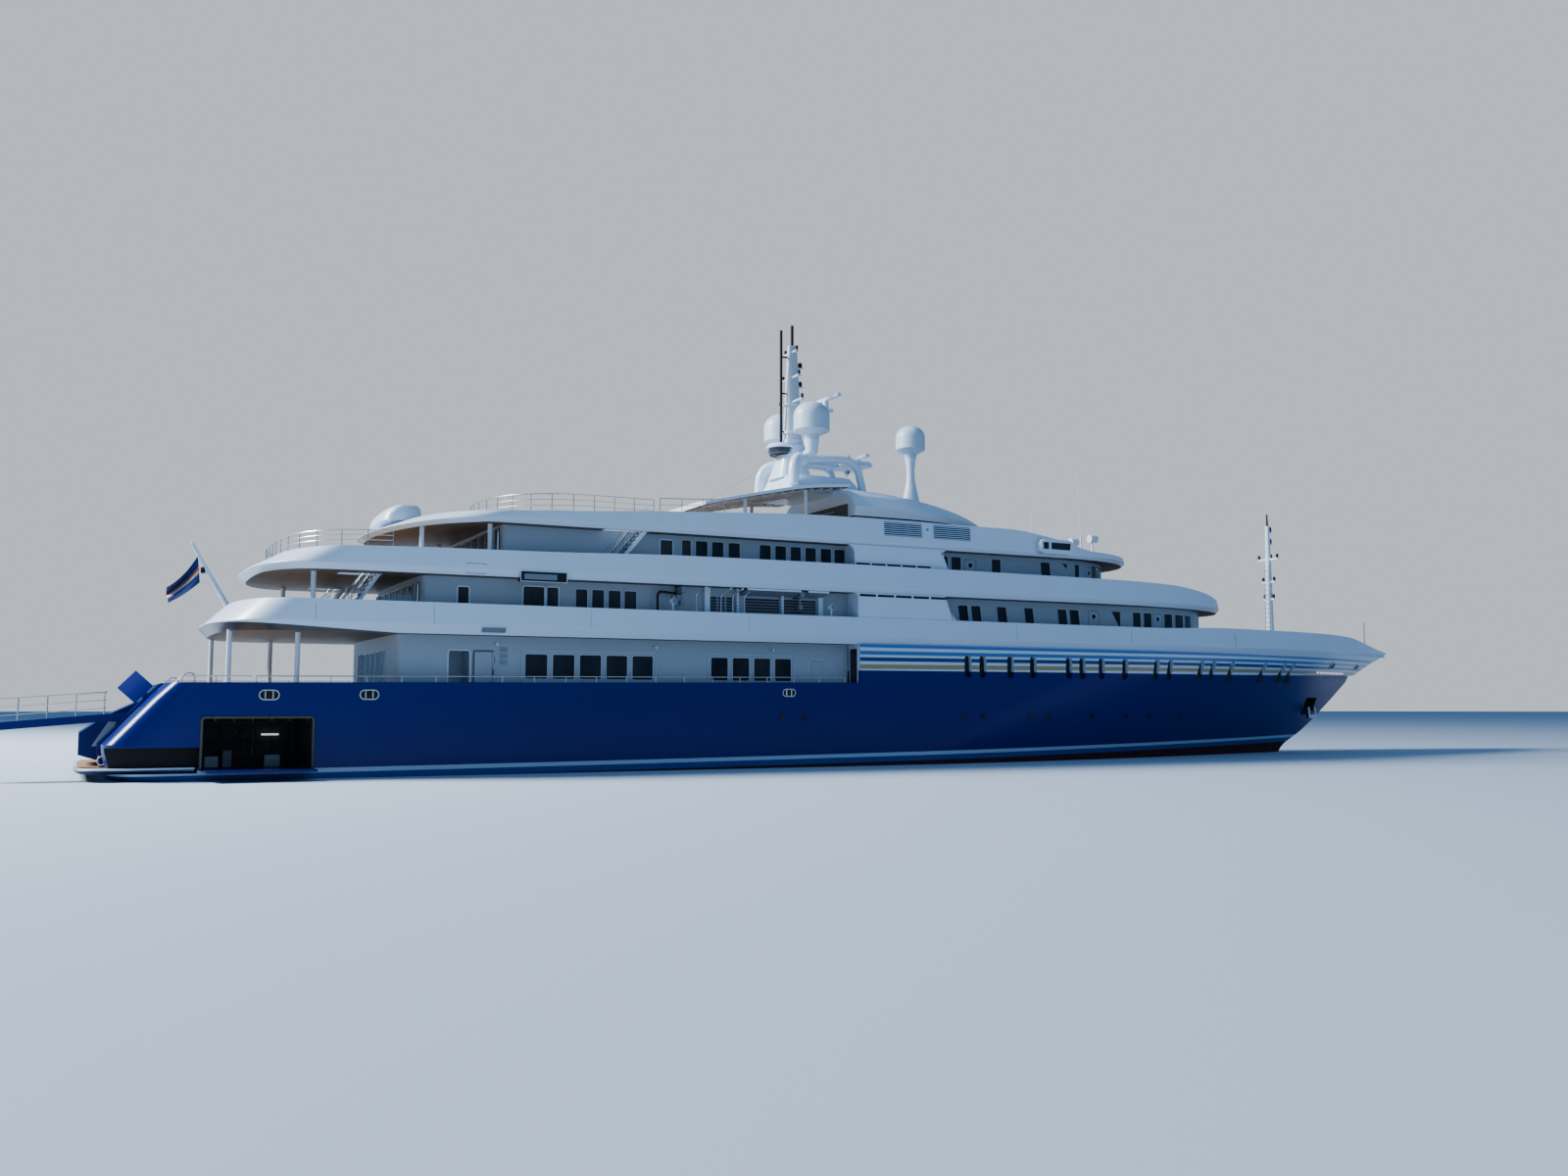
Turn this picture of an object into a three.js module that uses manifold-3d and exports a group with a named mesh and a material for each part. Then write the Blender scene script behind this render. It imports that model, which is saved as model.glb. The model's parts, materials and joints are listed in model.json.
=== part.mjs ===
// Motor yacht of 92 m, drawn as a 1:10 model.
// X points forward, Y to port and Z up; the origin is amidships on the centreline, at the waterline.
// Every length is in metres of the full-size ship; the outer group scales them to the model's millimetres.
import * as THREE from "three";
import { mergeVertices } from "three/addons/utils/BufferGeometryUtils.js";
import Module from "manifold-3d";

const wasm = await Module();
wasm.setup();

const SCALE = 100; // millimetres of the model for one metre of the ship
const GAP = 0.003; // between pieces that touch
const CLEAR = 0.06; // round pieces that move

// Turning stocks and their bores have this many sides. A bore is wide enough for the stock's corners.
const STOCK_SIDES = 16;
const boreRadius = (stock) => (stock + GAP) / Math.cos(Math.PI / STOCK_SIDES);

// Decks, from the keel up.
const KEEL = -3.9;
const PLATFORM = { bottom: 0.35, top: 0.6, aft: -46.3, fore: -41.35, half: 6.75 };
const MAIN = { floor: 3.85, stepX: -7.05, blueTop: 5.42, wall: 0.16 };
const UPPER = { bottom: 6.85, floor: 7.2 };
const BRIDGE = { bottom: 9.8, floor: 10.15 };
const SUN = { bottom: 12.6, floor: 12.95 };
const HALF_BEAM = 7.2;

// Paint and metal: colour, roughness, metalness.
const FINISH = {
  hull_blue: [0x0a1c5c, 0.15, 0.1],
  white_paint: [0xe6ebf0, 0.3, 0.05],
  striped_paint: [0xb9cbe0, 0.3, 0.05],
  antifouling: [0x2a0d12, 0.7, 0.0],
  bronze: [0xa37b3b, 0.35, 0.9],
  steel: [0xc9cdd2, 0.25, 0.9],
  teak: [0xa98660, 0.7, 0.0],
  cloth: [0x27408f, 0.9, 0.0],
};

const ship = new THREE.Group();
ship.scale.setScalar(SCALE);

// Solids

function solid(points, triangles) {
  let volume = 0;
  const [a, b, c] = [new THREE.Vector3(), new THREE.Vector3(), new THREE.Vector3()];
  for (const t of triangles) {
    a.fromArray(points[t[0]]);
    b.fromArray(points[t[1]]);
    c.fromArray(points[t[2]]);
    volume += a.dot(b.cross(c));
  }
  const turned = volume < 0 ? triangles.map(([i, j, k]) => [i, k, j]) : triangles;
  return new wasm.Manifold(
    new wasm.Mesh({
      numProp: 3,
      vertProperties: new Float32Array(points.flat()),
      triVerts: new Uint32Array(turned.flat()),
    }),
  );
}

function solidFrom(geometry) {
  const bare = geometry.clone();
  bare.deleteAttribute("normal");
  bare.deleteAttribute("uv");
  const merged = mergeVertices(bare, 1e-5);
  const place = merged.attributes.position;
  const index = [...merged.index.array];
  const points = [];
  for (let i = 0; i < place.count; i++) points.push([place.getX(i), place.getY(i), place.getZ(i)]);
  const triangles = [];
  for (let i = 0; i < index.length; i += 3) {
    const [p, q, r] = index.slice(i, i + 3);
    if (p !== q && q !== r && r !== p) triangles.push([p, q, r]);
  }
  return solid(points, triangles);
}

const join = (...parts) => parts.flat().reduce((sum, part) => sum.add(part));
const cut = (whole, ...parts) => parts.flat().reduce((rest, part) => rest.subtract(part), whole);

function piece(name, shape, finish) {
  const mesh = shape.getMesh();
  const geometry = new THREE.BufferGeometry();
  geometry.setAttribute("position", new THREE.BufferAttribute(new Float32Array(mesh.vertProperties), 3));
  geometry.setIndex(new THREE.BufferAttribute(new Uint32Array(mesh.triVerts), 1));
  geometry.computeVertexNormals();
  const [color, roughness, metalness] = FINISH[finish];
  const made = new THREE.Mesh(geometry, new THREE.MeshStandardMaterial({ color, roughness, metalness }));
  made.name = name;
  ship.add(made);
}

function box(x0, x1, y0, y1, z0, z1) {
  const geometry = new THREE.BoxGeometry(x1 - x0, y1 - y0, z1 - z0);
  geometry.translate((x0 + x1) / 2, (y0 + y1) / 2, (z0 + z1) / 2);
  return solidFrom(geometry);
}

// A round bar from one point to another, with its own radius at each end.
function bar(from, to, radius, endRadius = radius, sides = 8) {
  const [a, b] = [new THREE.Vector3(...from), new THREE.Vector3(...to)];
  const along = b.clone().sub(a);
  const geometry = new THREE.CylinderGeometry(endRadius, radius, along.length(), sides);
  geometry.applyQuaternion(
    new THREE.Quaternion().setFromUnitVectors(new THREE.Vector3(0, 1, 0), along.clone().normalize()),
  );
  geometry.translate(...a.add(b).multiplyScalar(0.5).toArray());
  return solidFrom(geometry);
}

// A flat outline carried straight along an axis. The outline's points are the two other coordinates in order.
function prism(outline, axis, from, to) {
  const place = {
    x: ([p, q], t) => [t, p, q],
    y: ([p, q], t) => [p, t, q],
    z: ([p, q], t) => [p, q, t],
  }[axis];
  return loft([outline.map((p) => place(p, from)), outline.map((p) => place(p, to))], outline);
}

// A closed body through rings with equal numbers of points. The flat outline says how its ends are filled.
function loft(rings, flat) {
  const count = flat.length;
  const triangles = [];
  for (let r = 0; r < rings.length - 1; r++)
    for (let i = 0; i < count; i++) {
      const [a, b] = [r * count + i, r * count + ((i + 1) % count)];
      triangles.push([a, b, b + count], [a, b + count, a + count]);
    }
  const contour = flat.map(([u, v]) => new THREE.Vector2(u, v));
  const faces = THREE.ShapeUtils.triangulateShape(contour, []);
  const covered = faces.reduce((sum, face) => sum + THREE.ShapeUtils.area(face.map((i) => contour[i])), 0);
  const alike = covered * THREE.ShapeUtils.area(contour) > 0;
  const last = (rings.length - 1) * count;
  for (const [i, j, k] of faces) {
    const [p, q] = alike ? [j, k] : [k, j];
    triangles.push([i, q, p], [last + i, last + p, last + q]);
  }
  return solid(rings.flat(), triangles);
}

// A closed body through rings that are alike to port and starboard. A ring starts at its aft centre point,
// runs forward to starboard, and comes back to port; each end is filled by strips from side to side.
function skin(rings) {
  const count = rings[0].length;
  const half = count / 2;
  const triangles = [];
  for (let r = 0; r < rings.length - 1; r++)
    for (let i = 0; i < count; i++) {
      const [a, b] = [r * count + i, r * count + ((i + 1) % count)];
      triangles.push([a, b, b + count], [a, b + count, a + count]);
    }
  const last = (rings.length - 1) * count;
  const fill = (i, j, k) => triangles.push([i, k, j], [last + i, last + j, last + k]);
  fill(0, 1, count - 1);
  for (let s = 1; s < half - 1; s++) {
    fill(s, s + 1, count - s - 1);
    fill(s, count - s - 1, count - s);
  }
  fill(half - 1, half, half + 1);
  return solid(rings.flat(), triangles);
}

// Plan outlines

const AFT_STEPS = [0, 0.012, 0.05, 0.14, 0.3, 0.55, 1];
const FORE_STEPS = [1, 0.8, 0.62, 0.47, 0.34, 0.23, 0.14, 0.06, 0.02, 0];
const MIDDLE_STEPS = [0.15, 0.3, 0.45, 0.6, 0.75, 0.9];

const roundEnd = (s, power) => (1 - (1 - s) ** power) ** (1 / power);
const fineEnd = (s, power) => 1 - (1 - s) ** power;

// The edge of a deck or a waterline as [x, y] from its aft centre point to its fore one, to starboard.
// aftRun and foreRun are the lengths over which the ends narrow.
// A fine end comes to a stem, a round one doesn't.
function edge({ aft, fore, half, aftRun, aftPower, foreRun, forePower, fine = false }) {
  const aftEnd = AFT_STEPS.map((s) => [aft + s * aftRun, half * roundEnd(s, aftPower)]);
  const start = aft + aftRun;
  const length = fore - foreRun - start;
  const middle = MIDDLE_STEPS.map((s) => [start + s * length, half]);
  const shape = fine ? fineEnd : roundEnd;
  const foreEnd = FORE_STEPS.map((s) => [fore - s * foreRun, half * shape(s, forePower)]);
  return [...aftEnd, ...middle, ...foreEnd];
}

function ring(plan, height) {
  const z = typeof height === "function" ? height : () => height;
  const side = edge(plan);
  const starboard = side.map(([x, y]) => [x, -y, z(x)]);
  const port = side.slice(1, -1).reverse().map(([x, y]) => [x, y, z(x)]);
  return [...starboard, ...port];
}

// The same outline drawn in by some distance all round.
const inset = (plan, by) => ({
  ...plan,
  aft: plan.aft + by,
  fore: plan.fore - by * (plan.fine ? 2 : 1),
  half: plan.half - by,
});

// A value read off a table of [place, value] rows, straight between them.
function along(rows) {
  return (x) => {
    if (x <= rows[0][0]) return rows[0][1];
    for (let i = 1; i < rows.length; i++)
      if (x <= rows[i][0]) {
        const [[x0, v0], [x1, v1]] = [rows[i - 1], rows[i]];
        return v0 + ((x - x0) / (x1 - x0)) * (v1 - v0);
      }
    return rows[rows.length - 1][1];
  };
}

// Hinges: knuckles on one line, by turns on the fixed and the moving piece.

const KNUCKLE = { radius: 0.05, length: 0.3, relief: 0.05, leaf: 0.07 };

// Knuckles at the given distances along an axis through a point. The moving one has a fixed one on each side.
function hinge(at, axis, places) {
  const on = (t) => at.map((v, i) => v + axis[i] * t);
  const { radius, length, relief } = KNUCKLE;
  const fixed = places.flatMap((t) => [
    bar(on(t - 1.5 * length), on(t - 0.5 * length - GAP), radius),
    bar(on(t + 0.5 * length + GAP), on(t + 1.5 * length), radius),
  ]);
  const moving = places.map((t) => bar(on(t - 0.5 * length), on(t + 0.5 * length), radius));
  const half = 0.5 * length;
  const room = places.map((t) => bar(on(t - half - GAP), on(t + half + GAP), radius + relief));
  return { fixed, moving, room };
}

const bothSides = (make) => [
  ["starboard", -1],
  ["port", 1],
].forEach(([side, sign]) => make(side, sign));

const mirrored = (shape, sign) => (sign < 0 ? shape : shape.mirror([0, 1, 0]));

// Hull
// Waterlines from the keel up: height, aft end, fore end, half breadth, and how the ends narrow.
const WATERLINES = [
  // z, aft, fore, half, aftRun, aftPower, foreRun, forePower
  [KEEL, -18, 28.5, 2.2, 16, 1.5, 26, 1.2],
  [-3.6, -21.5, 30.5, 4.6, 18, 1.6, 30, 1.25],
  [-2.9, -26.5, 32.2, 6.1, 20, 1.8, 34, 1.3],
  [-2.0, -33.0, 32.9, 6.8, 20, 2.2, 36, 1.35],
  [-1.1, -39.5, 33.1, 7.05, 16, 2.8, 36, 1.4],
  [-0.45, -44.0, 33.2, 7.12, 9, 4, 36, 1.45],
  [PLATFORM.bottom - GAP, -45.2, 33.7, 7.15, 4, 6, 36, 1.5],
  [1.6, -45.4, 35.9, 7.18, 3.5, 7, 36, 1.65],
  [MAIN.floor, -43.4, 39.1, 7.2, 3, 7, 35, 1.85],
  [4.7, -42.55, 40.2, 7.2, 3, 7, 34, 1.95],
  [MAIN.blueTop, -41.9, 41.2, 7.2, 3, 7, 33, 2.05],
  [UPPER.bottom - GAP, -40.5, 44.1, 7.2, 3, 7, 33, 2.25],
];
const COLUMN = ["z", "aft", "fore", "half", "aftRun", "aftPower", "foreRun", "forePower"];

function waterline(z) {
  const plan = { fine: true };
  COLUMN.slice(1).forEach((name, i) => {
    plan[name] = along(WATERLINES.map((row) => [row[0], row[i + 1]]))(z);
  });
  return plan;
}

// The top of the blue forward of the step rises slightly to the bow.
const blueEdge = along([[MAIN.stepX, 5.37], [21, 5.47], [39, 5.67]]);
const BULWARK = [[-43, 4.4], [-8, 4.67]];
const bulwarkTop = along(BULWARK);

const STERN_STAIR = { inner: 4.5, outer: 5.9, top: -42.0, foot: -44.95, steps: 13 };
const GARAGE = { aft: -41.2, fore: -36.5, sill: 0.42, head: 2.8, depth: 5.6 };
const PASSERELLE = {
  y: -3.4, half: 0.45, slot: 0.6, notch: 0.56, hinge: [-43.2, 3.0], end: -51.0, drop: 4.6,
};
const UNDERCUT = { fore: -41.3, top: 1.5, depth: 0.9 };
const ANCHOR_POCKET = { x: 35.6, z: 3.35, half: 0.9, depth: 0.35 };

function hullShape() {
  const rings = WATERLINES.slice(0, -2).map((row) => ring(waterline(row[0]), row[0]));
  rings.push(ring(waterline(MAIN.blueTop), blueEdge));
  const bulb = new THREE.SphereGeometry(1, 14, 9);
  bulb.scale(5.2, 1.0, 1.25);
  bulb.translate(31.6, 0, -2.45);
  const block = prism(
    [[-42.4, 4.2], [-45.0, 2.9], [-46.1, 2.1], [-46.1, 1.1], [-44.6, 0.62], [-42.4, 0.62]],
    "y", -2.6, 2.6,
  );
  return join(skin(rings), solidFrom(bulb), block);
}

// Everything above the main-deck bulwark, and the open deck inside it.
function mainDeckRoom() {
  const above = prism(
    [[-50, bulwarkTop(-50)], ...BULWARK, [MAIN.stepX, bulwarkTop(MAIN.stepX)], [MAIN.stepX, 9], [-50, 9]],
    "y", -9, 9,
  );
  const ends = { fine: false, aft: -42.35, fore: MAIN.stepX, foreRun: 0.4, forePower: 8 };
  const well = { ...waterline(MAIN.floor), ...ends };
  well.half -= MAIN.wall;
  return [above, skin([ring(well, MAIN.floor), ring({ ...well, half: well.half + 0.03 }, 6)])];
}

function sternStairRoom(sign) {
  const { inner, outer, top, foot } = STERN_STAIR;
  const shape = prism(
    [[foot - 0.45, 0.2], [top + 0.6, 3.3], [top + 0.6, 6], [-48, 6], [-48, 0.2]],
    "y", -outer - GAP, -inner + GAP,
  );
  return mirrored(shape.trimByPlane([0, 0, 1], PLATFORM.top), sign);
}

function garageRoom(sign) {
  const { aft, fore, sill, head, depth } = GARAGE;
  return mirrored(box(aft, fore, -8, -8 + 0.8 + depth, sill, head), sign);
}

function undercutRoom(sign) {
  const { fore, top, depth } = UNDERCUT;
  return mirrored(box(-48, fore, -8, -HALF_BEAM + depth, PLATFORM.top + GAP, top), sign);
}

// Hinge of a garage door, along its sill.
const garageHinge = (sign) => {
  const at = [(GARAGE.aft + GARAGE.fore) / 2, sign * 7.19, 0.4];
  return hinge(at, [1, 0, 0], [-1.6, 1.6]);
};

// The transom leans forward going up: a unit vector down its slope and one square to it, outwards.
const TRANSOM = { x: -42.55, z: 4.7, down: [-0.677, 0, -0.736], out: [-0.736, 0, 0.677] };
const onTransom = (z) => TRANSOM.x + ((TRANSOM.z - z) * TRANSOM.down[0]) / -TRANSOM.down[2];
const LID = { z: 3.78, length: 1.1, width: 1.12, thick: 0.08, stand: 0.07, open: 100 };
const lidAxis = [
  onTransom(LID.z) + TRANSOM.out[0] * LID.stand,
  PASSERELLE.y - PASSERELLE.slot - 0.06,
  LID.z + TRANSOM.out[2] * LID.stand,
];
const lidHinge = hinge(lidAxis, TRANSOM.down, [0]);
const gangwayHinge = hinge([PASSERELLE.hinge[0], PASSERELLE.y, PASSERELLE.hinge[1]], [0, 1, 0], [0]);

function anchorRoom(sign) {
  const { x, z, half, depth } = ANCHOR_POCKET;
  return mirrored(box(x - half, x + half, -6, -depth, z - 0.6, z + 0.65), sign);
}

const RUDDER = { x: -39.0, y: 2.7, top: -1.5, bottom: -3.6, stock: 0.16 };
const SCREW = { x: -36.0, y: 2.7, z: -2.8, radius: 1.05, hub: 0.28, shaft: 0.14 };
const FIN = { x: -2, y: 5.75, z: -3.1, length: 1.4, chord: 1.7, stock: 0.13, angle: 35 };

function rudderBore(sign) {
  const { x, y, stock } = RUDDER;
  return bar([x, sign * y, -3], [x, sign * y, -0.35], boreRadius(stock), boreRadius(stock), STOCK_SIDES);
}

function buildHull() {
  const { y, slot, notch, hinge: pin } = PASSERELLE;
  const platformRoom = box(-48, PLATFORM.fore + GAP, -8, 8, PLATFORM.bottom - GAP, PLATFORM.top + GAP);
  const gangwayRoom = box(-48, pin[0] + 0.75, y - slot, y + slot, pin[1] - notch, pin[1] + 0.3);
  const lidRoom = box(-48, -42.75, y - slot, y + slot, pin[1] + 0.2, 6);
  let hull = cut(hullShape(), mainDeckRoom(), platformRoom, gangwayRoom, lidRoom);
  bothSides((side, sign) => {
    const pins = garageHinge(sign);
    hull = cut(hull, sternStairRoom(sign), garageRoom(sign), undercutRoom(sign), rudderBore(sign));
    hull = cut(join(hull, pins.fixed), pins.room, anchorRoom(sign), finBore(sign), shaftLine(sign, GAP));
  });
  return cut(join(hull, lidHinge.fixed, lidSeat(), gangwayHinge.fixed, gangwaySeat()), lidHinge.room);
}

// The fixed knuckles of the stern lid and of the passerelle stand on these blocks of the hull.
function lidSeat() {
  const { down, out } = TRANSOM;
  const reach = 0.45;
  const at = (t, o, dy) => lidAxis.map((v, i) => v + down[i] * t + out[i] * o + (i === 1 ? dy : 0));
  const ringAt = (t) =>
    [[0.02, -0.02], [0.02, -0.1], [-0.3, -0.1], [-0.3, 0.05], [-0.06, 0.05]].map(([o, dy]) => at(t, o, dy));
  return [[-reach, -0.153], [0.153, reach]].map(([from, to]) =>
    loft([ringAt(from), ringAt(to)], [[0, 0], [-1, 0], [-1, -3], [0.5, -3], [0.5, -0.5]]));
}

function gangwaySeat() {
  const { y, slot, hinge: [px, pz] } = PASSERELLE;
  return [[y - slot - 0.05, y - 0.153], [y + 0.153, y + slot + 0.05]].map(([from, to]) =>
    box(px + 0.01, px + 0.8, from, to, pz - 0.12, pz + 0.04));
}

// Underwater gear, made for the starboard side

function shaftLine(sign, grow = 0) {
  const { x, y, z, shaft } = SCREW;
  const entry = [x + 8.5 + grow, -y, z + 0.06];
  const tail = [x + 0.4 + GAP, -y, z];
  const bracketX = x + 1.1;
  const boss = bar([bracketX - 0.45, -y, z], [bracketX + 0.45, -y, z], 0.26, 0.26, 12);
  const legs = [-0.75, 0.75].map((out) =>
    bar([bracketX, -y, z], [bracketX, -y + out * (1 + grow), -1.2 + grow], 0.1 + grow, 0.12 + grow));
  return mirrored(join(bar(tail, entry, shaft + grow, shaft + grow, 10), boss, legs), sign);
}

function screwShape() {
  const { x, y, z, radius, hub, shaft } = SCREW;
  const profile = [
    [0, -0.62], [0.14, -0.5], [0.24, -0.3], [hub, -0.05], [hub, 0.3], [shaft, 0.4], [0, 0.4],
  ].map(([r, t]) => new THREE.Vector2(r, t));
  const boss = new THREE.LatheGeometry(profile, 16);
  boss.rotateZ(-Math.PI / 2);
  const BLADES = 5;
  let screw = solidFrom(boss);
  for (let i = 0; i < BLADES; i++) {
    const reach = [0.17, 0.4, 0.65, 0.88, 1].map((part) => part * radius);
    const width = [0.3, 0.55, 0.68, 0.56, 0.2];
    const twist = [1.0, 0.8, 0.62, 0.5, 0.42];
    const sections = reach.map((r, s) =>
      [[-1, 0], [0, 0.05], [1, 0], [0, -0.05]].map(([u, t]) => {
        const [c, d] = [Math.cos(twist[s]), Math.sin(twist[s])];
        const w = (u * width[s]) / 2;
        const skew = 0.22 * (r / radius) ** 2;
        return [0.1 + w * d + t * c, w * c - t * d + skew, r];
      }),
    );
    const blade = loft(sections, [[-1, 0], [0, 0.2], [1, 0], [0, -0.2]]);
    screw = screw.add(blade.rotate([(360 / BLADES) * i, 0, 0]));
  }
  return screw.translate([x, -y, z]);
}

function rudderShape(sign) {
  const { x, y, top, bottom, stock } = RUDDER;
  const foil = (chord) => [
    [0.3, 0], [0.22, 0.09], [0, 0.15], [-0.35, 0.12], [-0.7, 0], [-0.35, -0.12], [0, -0.15], [0.22, -0.09],
  ].map(([u, v]) => [x + u * chord, -y + v * 1.1]);
  const at = (chord, z) => foil(chord).map(([u, v]) => [u, v, z]);
  const blade = loft([at(1.9, bottom), at(2.3, (top + bottom) / 2), at(2.4, top - 0.15)], foil(1));
  return mirrored(join(blade, bar([x, -y, top - 0.4], [x, -y, -0.4], stock, stock, STOCK_SIDES)), sign);
}

// A stabiliser fin on the turn of the bilge, its stock square to the plating.
const finTilt = THREE.MathUtils.degToRad(FIN.angle);
const FIN_AXIS = [0, -Math.cos(finTilt), -Math.sin(finTilt)];
const onFin = (t) => [FIN.x, -FIN.y + FIN_AXIS[1] * t, FIN.z + FIN_AXIS[2] * t];

function finShape(sign) {
  const { length, chord, stock } = FIN;
  const foil = [[0.35, 0], [0.1, 0.1], [-0.65, 0.02], [-0.65, -0.02], [0.1, -0.1]];
  const at = (t, c) => foil.map(([u, v]) => {
    const [x, y, z] = onFin(t);
    return [x + u * c, y - v * FIN_AXIS[2], z + v * FIN_AXIS[1]];
  });
  const blade = loft([at(0.22, chord), at(0.22 + length, chord * 0.75)], foil);
  return mirrored(join(blade, bar(onFin(-0.7), onFin(0.4), stock, stock, STOCK_SIDES)), sign);
}

function finBore(sign) {
  const radius = boreRadius(FIN.stock);
  return mirrored(bar(onFin(-0.7 - GAP), onFin(0.6), radius, radius, STOCK_SIDES), sign);
}

// Stern

function sternStair(sign) {
  const { inner, outer, top, foot, steps } = STERN_STAIR;
  const [rise, run] = [(MAIN.floor - PLATFORM.top) / steps, (top - foot) / steps];
  const profile = [[foot, PLATFORM.top + GAP]];
  for (let i = 0; i < steps; i++) {
    const x = foot + i * run;
    const end = i < steps - 1 ? x + run : top + 0.6 - GAP;
    profile.push([x, PLATFORM.top + (i + 1) * rise], [end, PLATFORM.top + (i + 1) * rise]);
  }
  profile.push([top + 0.6 - GAP, 3.3 + 2 * GAP], [foot + 0.02, PLATFORM.top + GAP]);
  return mirrored(prism(profile, "y", -outer, -inner), sign);
}

function swimPlatform() {
  const { bottom, top, aft, fore, half } = PLATFORM;
  const plan = { aft, fore, half, aftRun: 1.6, aftPower: 4, foreRun: 0.2, forePower: 8 };
  return skin([ring(inset(plan, 0.12), bottom), ring(plan, bottom + 0.1), ring(plan, top)]);
}

function garageDoor(sign, open) {
  const { aft, fore, head } = GARAGE;
  const hingeAt = [(aft + fore) / 2, 7.19, 0.4];
  const leaf = box(aft + CLEAR, fore - CLEAR, 7.06, 7.17, hingeAt[2] + KNUCKLE.leaf, head - CLEAR);
  const places = [-1.6, 1.6];
  const reach = KNUCKLE.length / 2;
  const tabTop = hingeAt[2] + KNUCKLE.leaf + 0.02;
  const tabs = places.map((t) =>
    box(hingeAt[0] + t - reach, hingeAt[0] + t + reach, 7.12, 7.17, hingeAt[2], tabTop));
  const shut = join(leaf, tabs, hinge(hingeAt, [1, 0, 0], places).moving);
  const turned = open
    ? shut.translate(hingeAt.map((v) => -v)).rotate([-90, 0, 0]).translate(hingeAt)
    : shut;
  return sign > 0 ? turned : turned.mirror([0, 1, 0]);
}

function gangway() {
  const { y, half, hinge: [px, pz], end, drop } = PASSERELLE;
  const slope = Math.tan(THREE.MathUtils.degToRad(drop));
  const z = (x) => pz - (px - x) * slope;
  const start = px - 0.15;
  const side = (at) => loft(
    [-0.06, 0.06].map((dy) => [
      [start, y + at + dy, z(start) + 0.14], [start, y + at + dy, z(start) - 0.2],
      [end + 0.6, y + at + dy, z(end) - 0.2], [end, y + at + dy, z(end) - 0.02],
      [end, y + at + dy, z(end) + 0.1],
    ]),
    [[start, 0.14], [start, -0.2], [end + 0.6, -0.2], [end, -0.02], [end, 0.1]],
  );
  const section = [[-half, 0.02], [half, 0.02], [half, -0.06], [-half, -0.06]];
  const deck = loft([start, end].map((x) => section.map(([dy, dz]) => [x, y + dy, z(x) + dz])), section);
  const railStart = px - 1.9;
  const posts = [];
  for (let i = 0; i < 6; i++) {
    const x = railStart - i * 1.15;
    for (const at of [-half, half])
      posts.push(bar([x, y + at, z(x)], [x, y + at, z(x) + 1.15], 0.025, 0.025, 4));
  }
  const [first, last] = [railStart, railStart - 5 * 1.15];
  const rails = [-half, half].flatMap((at) => [0.6, 1.13].map((up) =>
    bar([first + 0.1, y + at, z(first) + up], [last - 0.1, y + at, z(last) + up], 0.028, 0.028, 4)));
  return join(side(-half), side(half), deck, posts, rails, gangwayArm());
}

// The eye that carries the passerelle on its pin.
function gangwayArm() {
  const { y, hinge: [px, pz] } = PASSERELLE;
  return join(gangwayHinge.moving, box(px - 0.4, px - 0.02, y - 0.14, y + 0.14, pz - 0.05, pz + 0.04));
}

// Superstructure
// Each deck is a tray: a soffit, a side with a knuckle, and a bulwark round a floor.

// The stern leans forward by rake above the knuckle. The bow lies back below it by flare[0], and reaches
// on above it by flare[1].
function tray({ plan, bottom, knuckle, top, floor, wall, rake, chamfer, flare = [chamfer, -0.6 * wall] }) {
  const low = { ...inset(plan, chamfer), aft: plan.aft + chamfer * 2, fore: plan.fore - flare[0] };
  const high = { ...inset(plan, wall * 0.6), aft: plan.aft + rake, fore: plan.fore + flare[1] };
  const inner = { ...inset(high, wall), aft: high.aft + wall };
  const outside = [ring(low, bottom), ring(plan, knuckle), ring(high, top)];
  return skin([...outside, ring(inner, top), ring(inner, floor)]);
}

const upperTop = along([
  [-42, 8.3], [-37, 8.38], [15, 8.38], [22, 8.55], [33, 8.55], [37, 8.45], [40, 8.1], [43, 7.72],
  [45.8, 7.52],
]);
const UPPER_PLAN = {
  aft: -40.9, fore: 45.15, half: 7.2, aftRun: 3.6, aftPower: 3, foreRun: 33, forePower: 2.4, fine: true,
};

const bridgeTop = along([
  [-39, 10.7], [-37.5, 10.83], [-33, 11.03], [-25, 11.16], [-17.7, 11.35], [-7, 11.4], [12, 11.36],
  [17, 11.3], [20.8, 11.05], [25.7, 10.45],
]);
const BRIDGE_PLAN = {
  aft: -39.1, fore: 25.9, half: 7.1, aftRun: 3.6, aftPower: 3, foreRun: 16, forePower: 2.2,
};

const sunTop = along([
  [-33.4, 12.45], [-31, 13.0], [-25, 13.33], [-17.5, 13.79], [-7.8, 14.16], [4, 14.16], [7.5, 13.75],
  [10.8, 13.15], [16.6, 13.1],
]);
const sunBottom = along([[-33.4, 12.05], [-31, 12.35], [-29, 12.52], [-28, SUN.bottom]]);
const SUN_PLAN = {
  aft: -33.3, fore: 16.7, half: 6.7, aftRun: 5.2, aftPower: 2.4, foreRun: 9, forePower: 2.3,
};

// A closed house of one deck, rounded in front and square aft.
function house({ aft, fore, half, foreRun, forePower, bottom, top, lean = 0 }) {
  const plan = { aft, fore, half, aftRun: 0.5, aftPower: 6, foreRun, forePower };
  const upper = { ...plan, half: half - lean, fore: fore - lean * 3 };
  return skin([ring(plan, bottom), ring(upper, top)]);
}

const MAIN_HOUSE = { aft: -32.6, fore: MAIN.stepX - GAP, half: 6.0 };
const DOORWAY = { aft: -30.0, fore: -28.95, head: 6.1, depth: 1.4 };
const MAIN_DOOR = {
  aft: -28.7, fore: -27.75, sill: 4.02, head: 6.05, recess: 0.2, outer: 0.005, inner: 0.06,
};
const DOOR_KNUCKLES = [-0.6, 0.6];
const doorAxis = [MAIN_DOOR.fore, -MAIN_HOUSE.half - 0.01, (MAIN_DOOR.sill + MAIN_DOOR.head) / 2];
const doorHinge = hinge(doorAxis, [0, 0, 1], DOOR_KNUCKLES);

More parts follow.
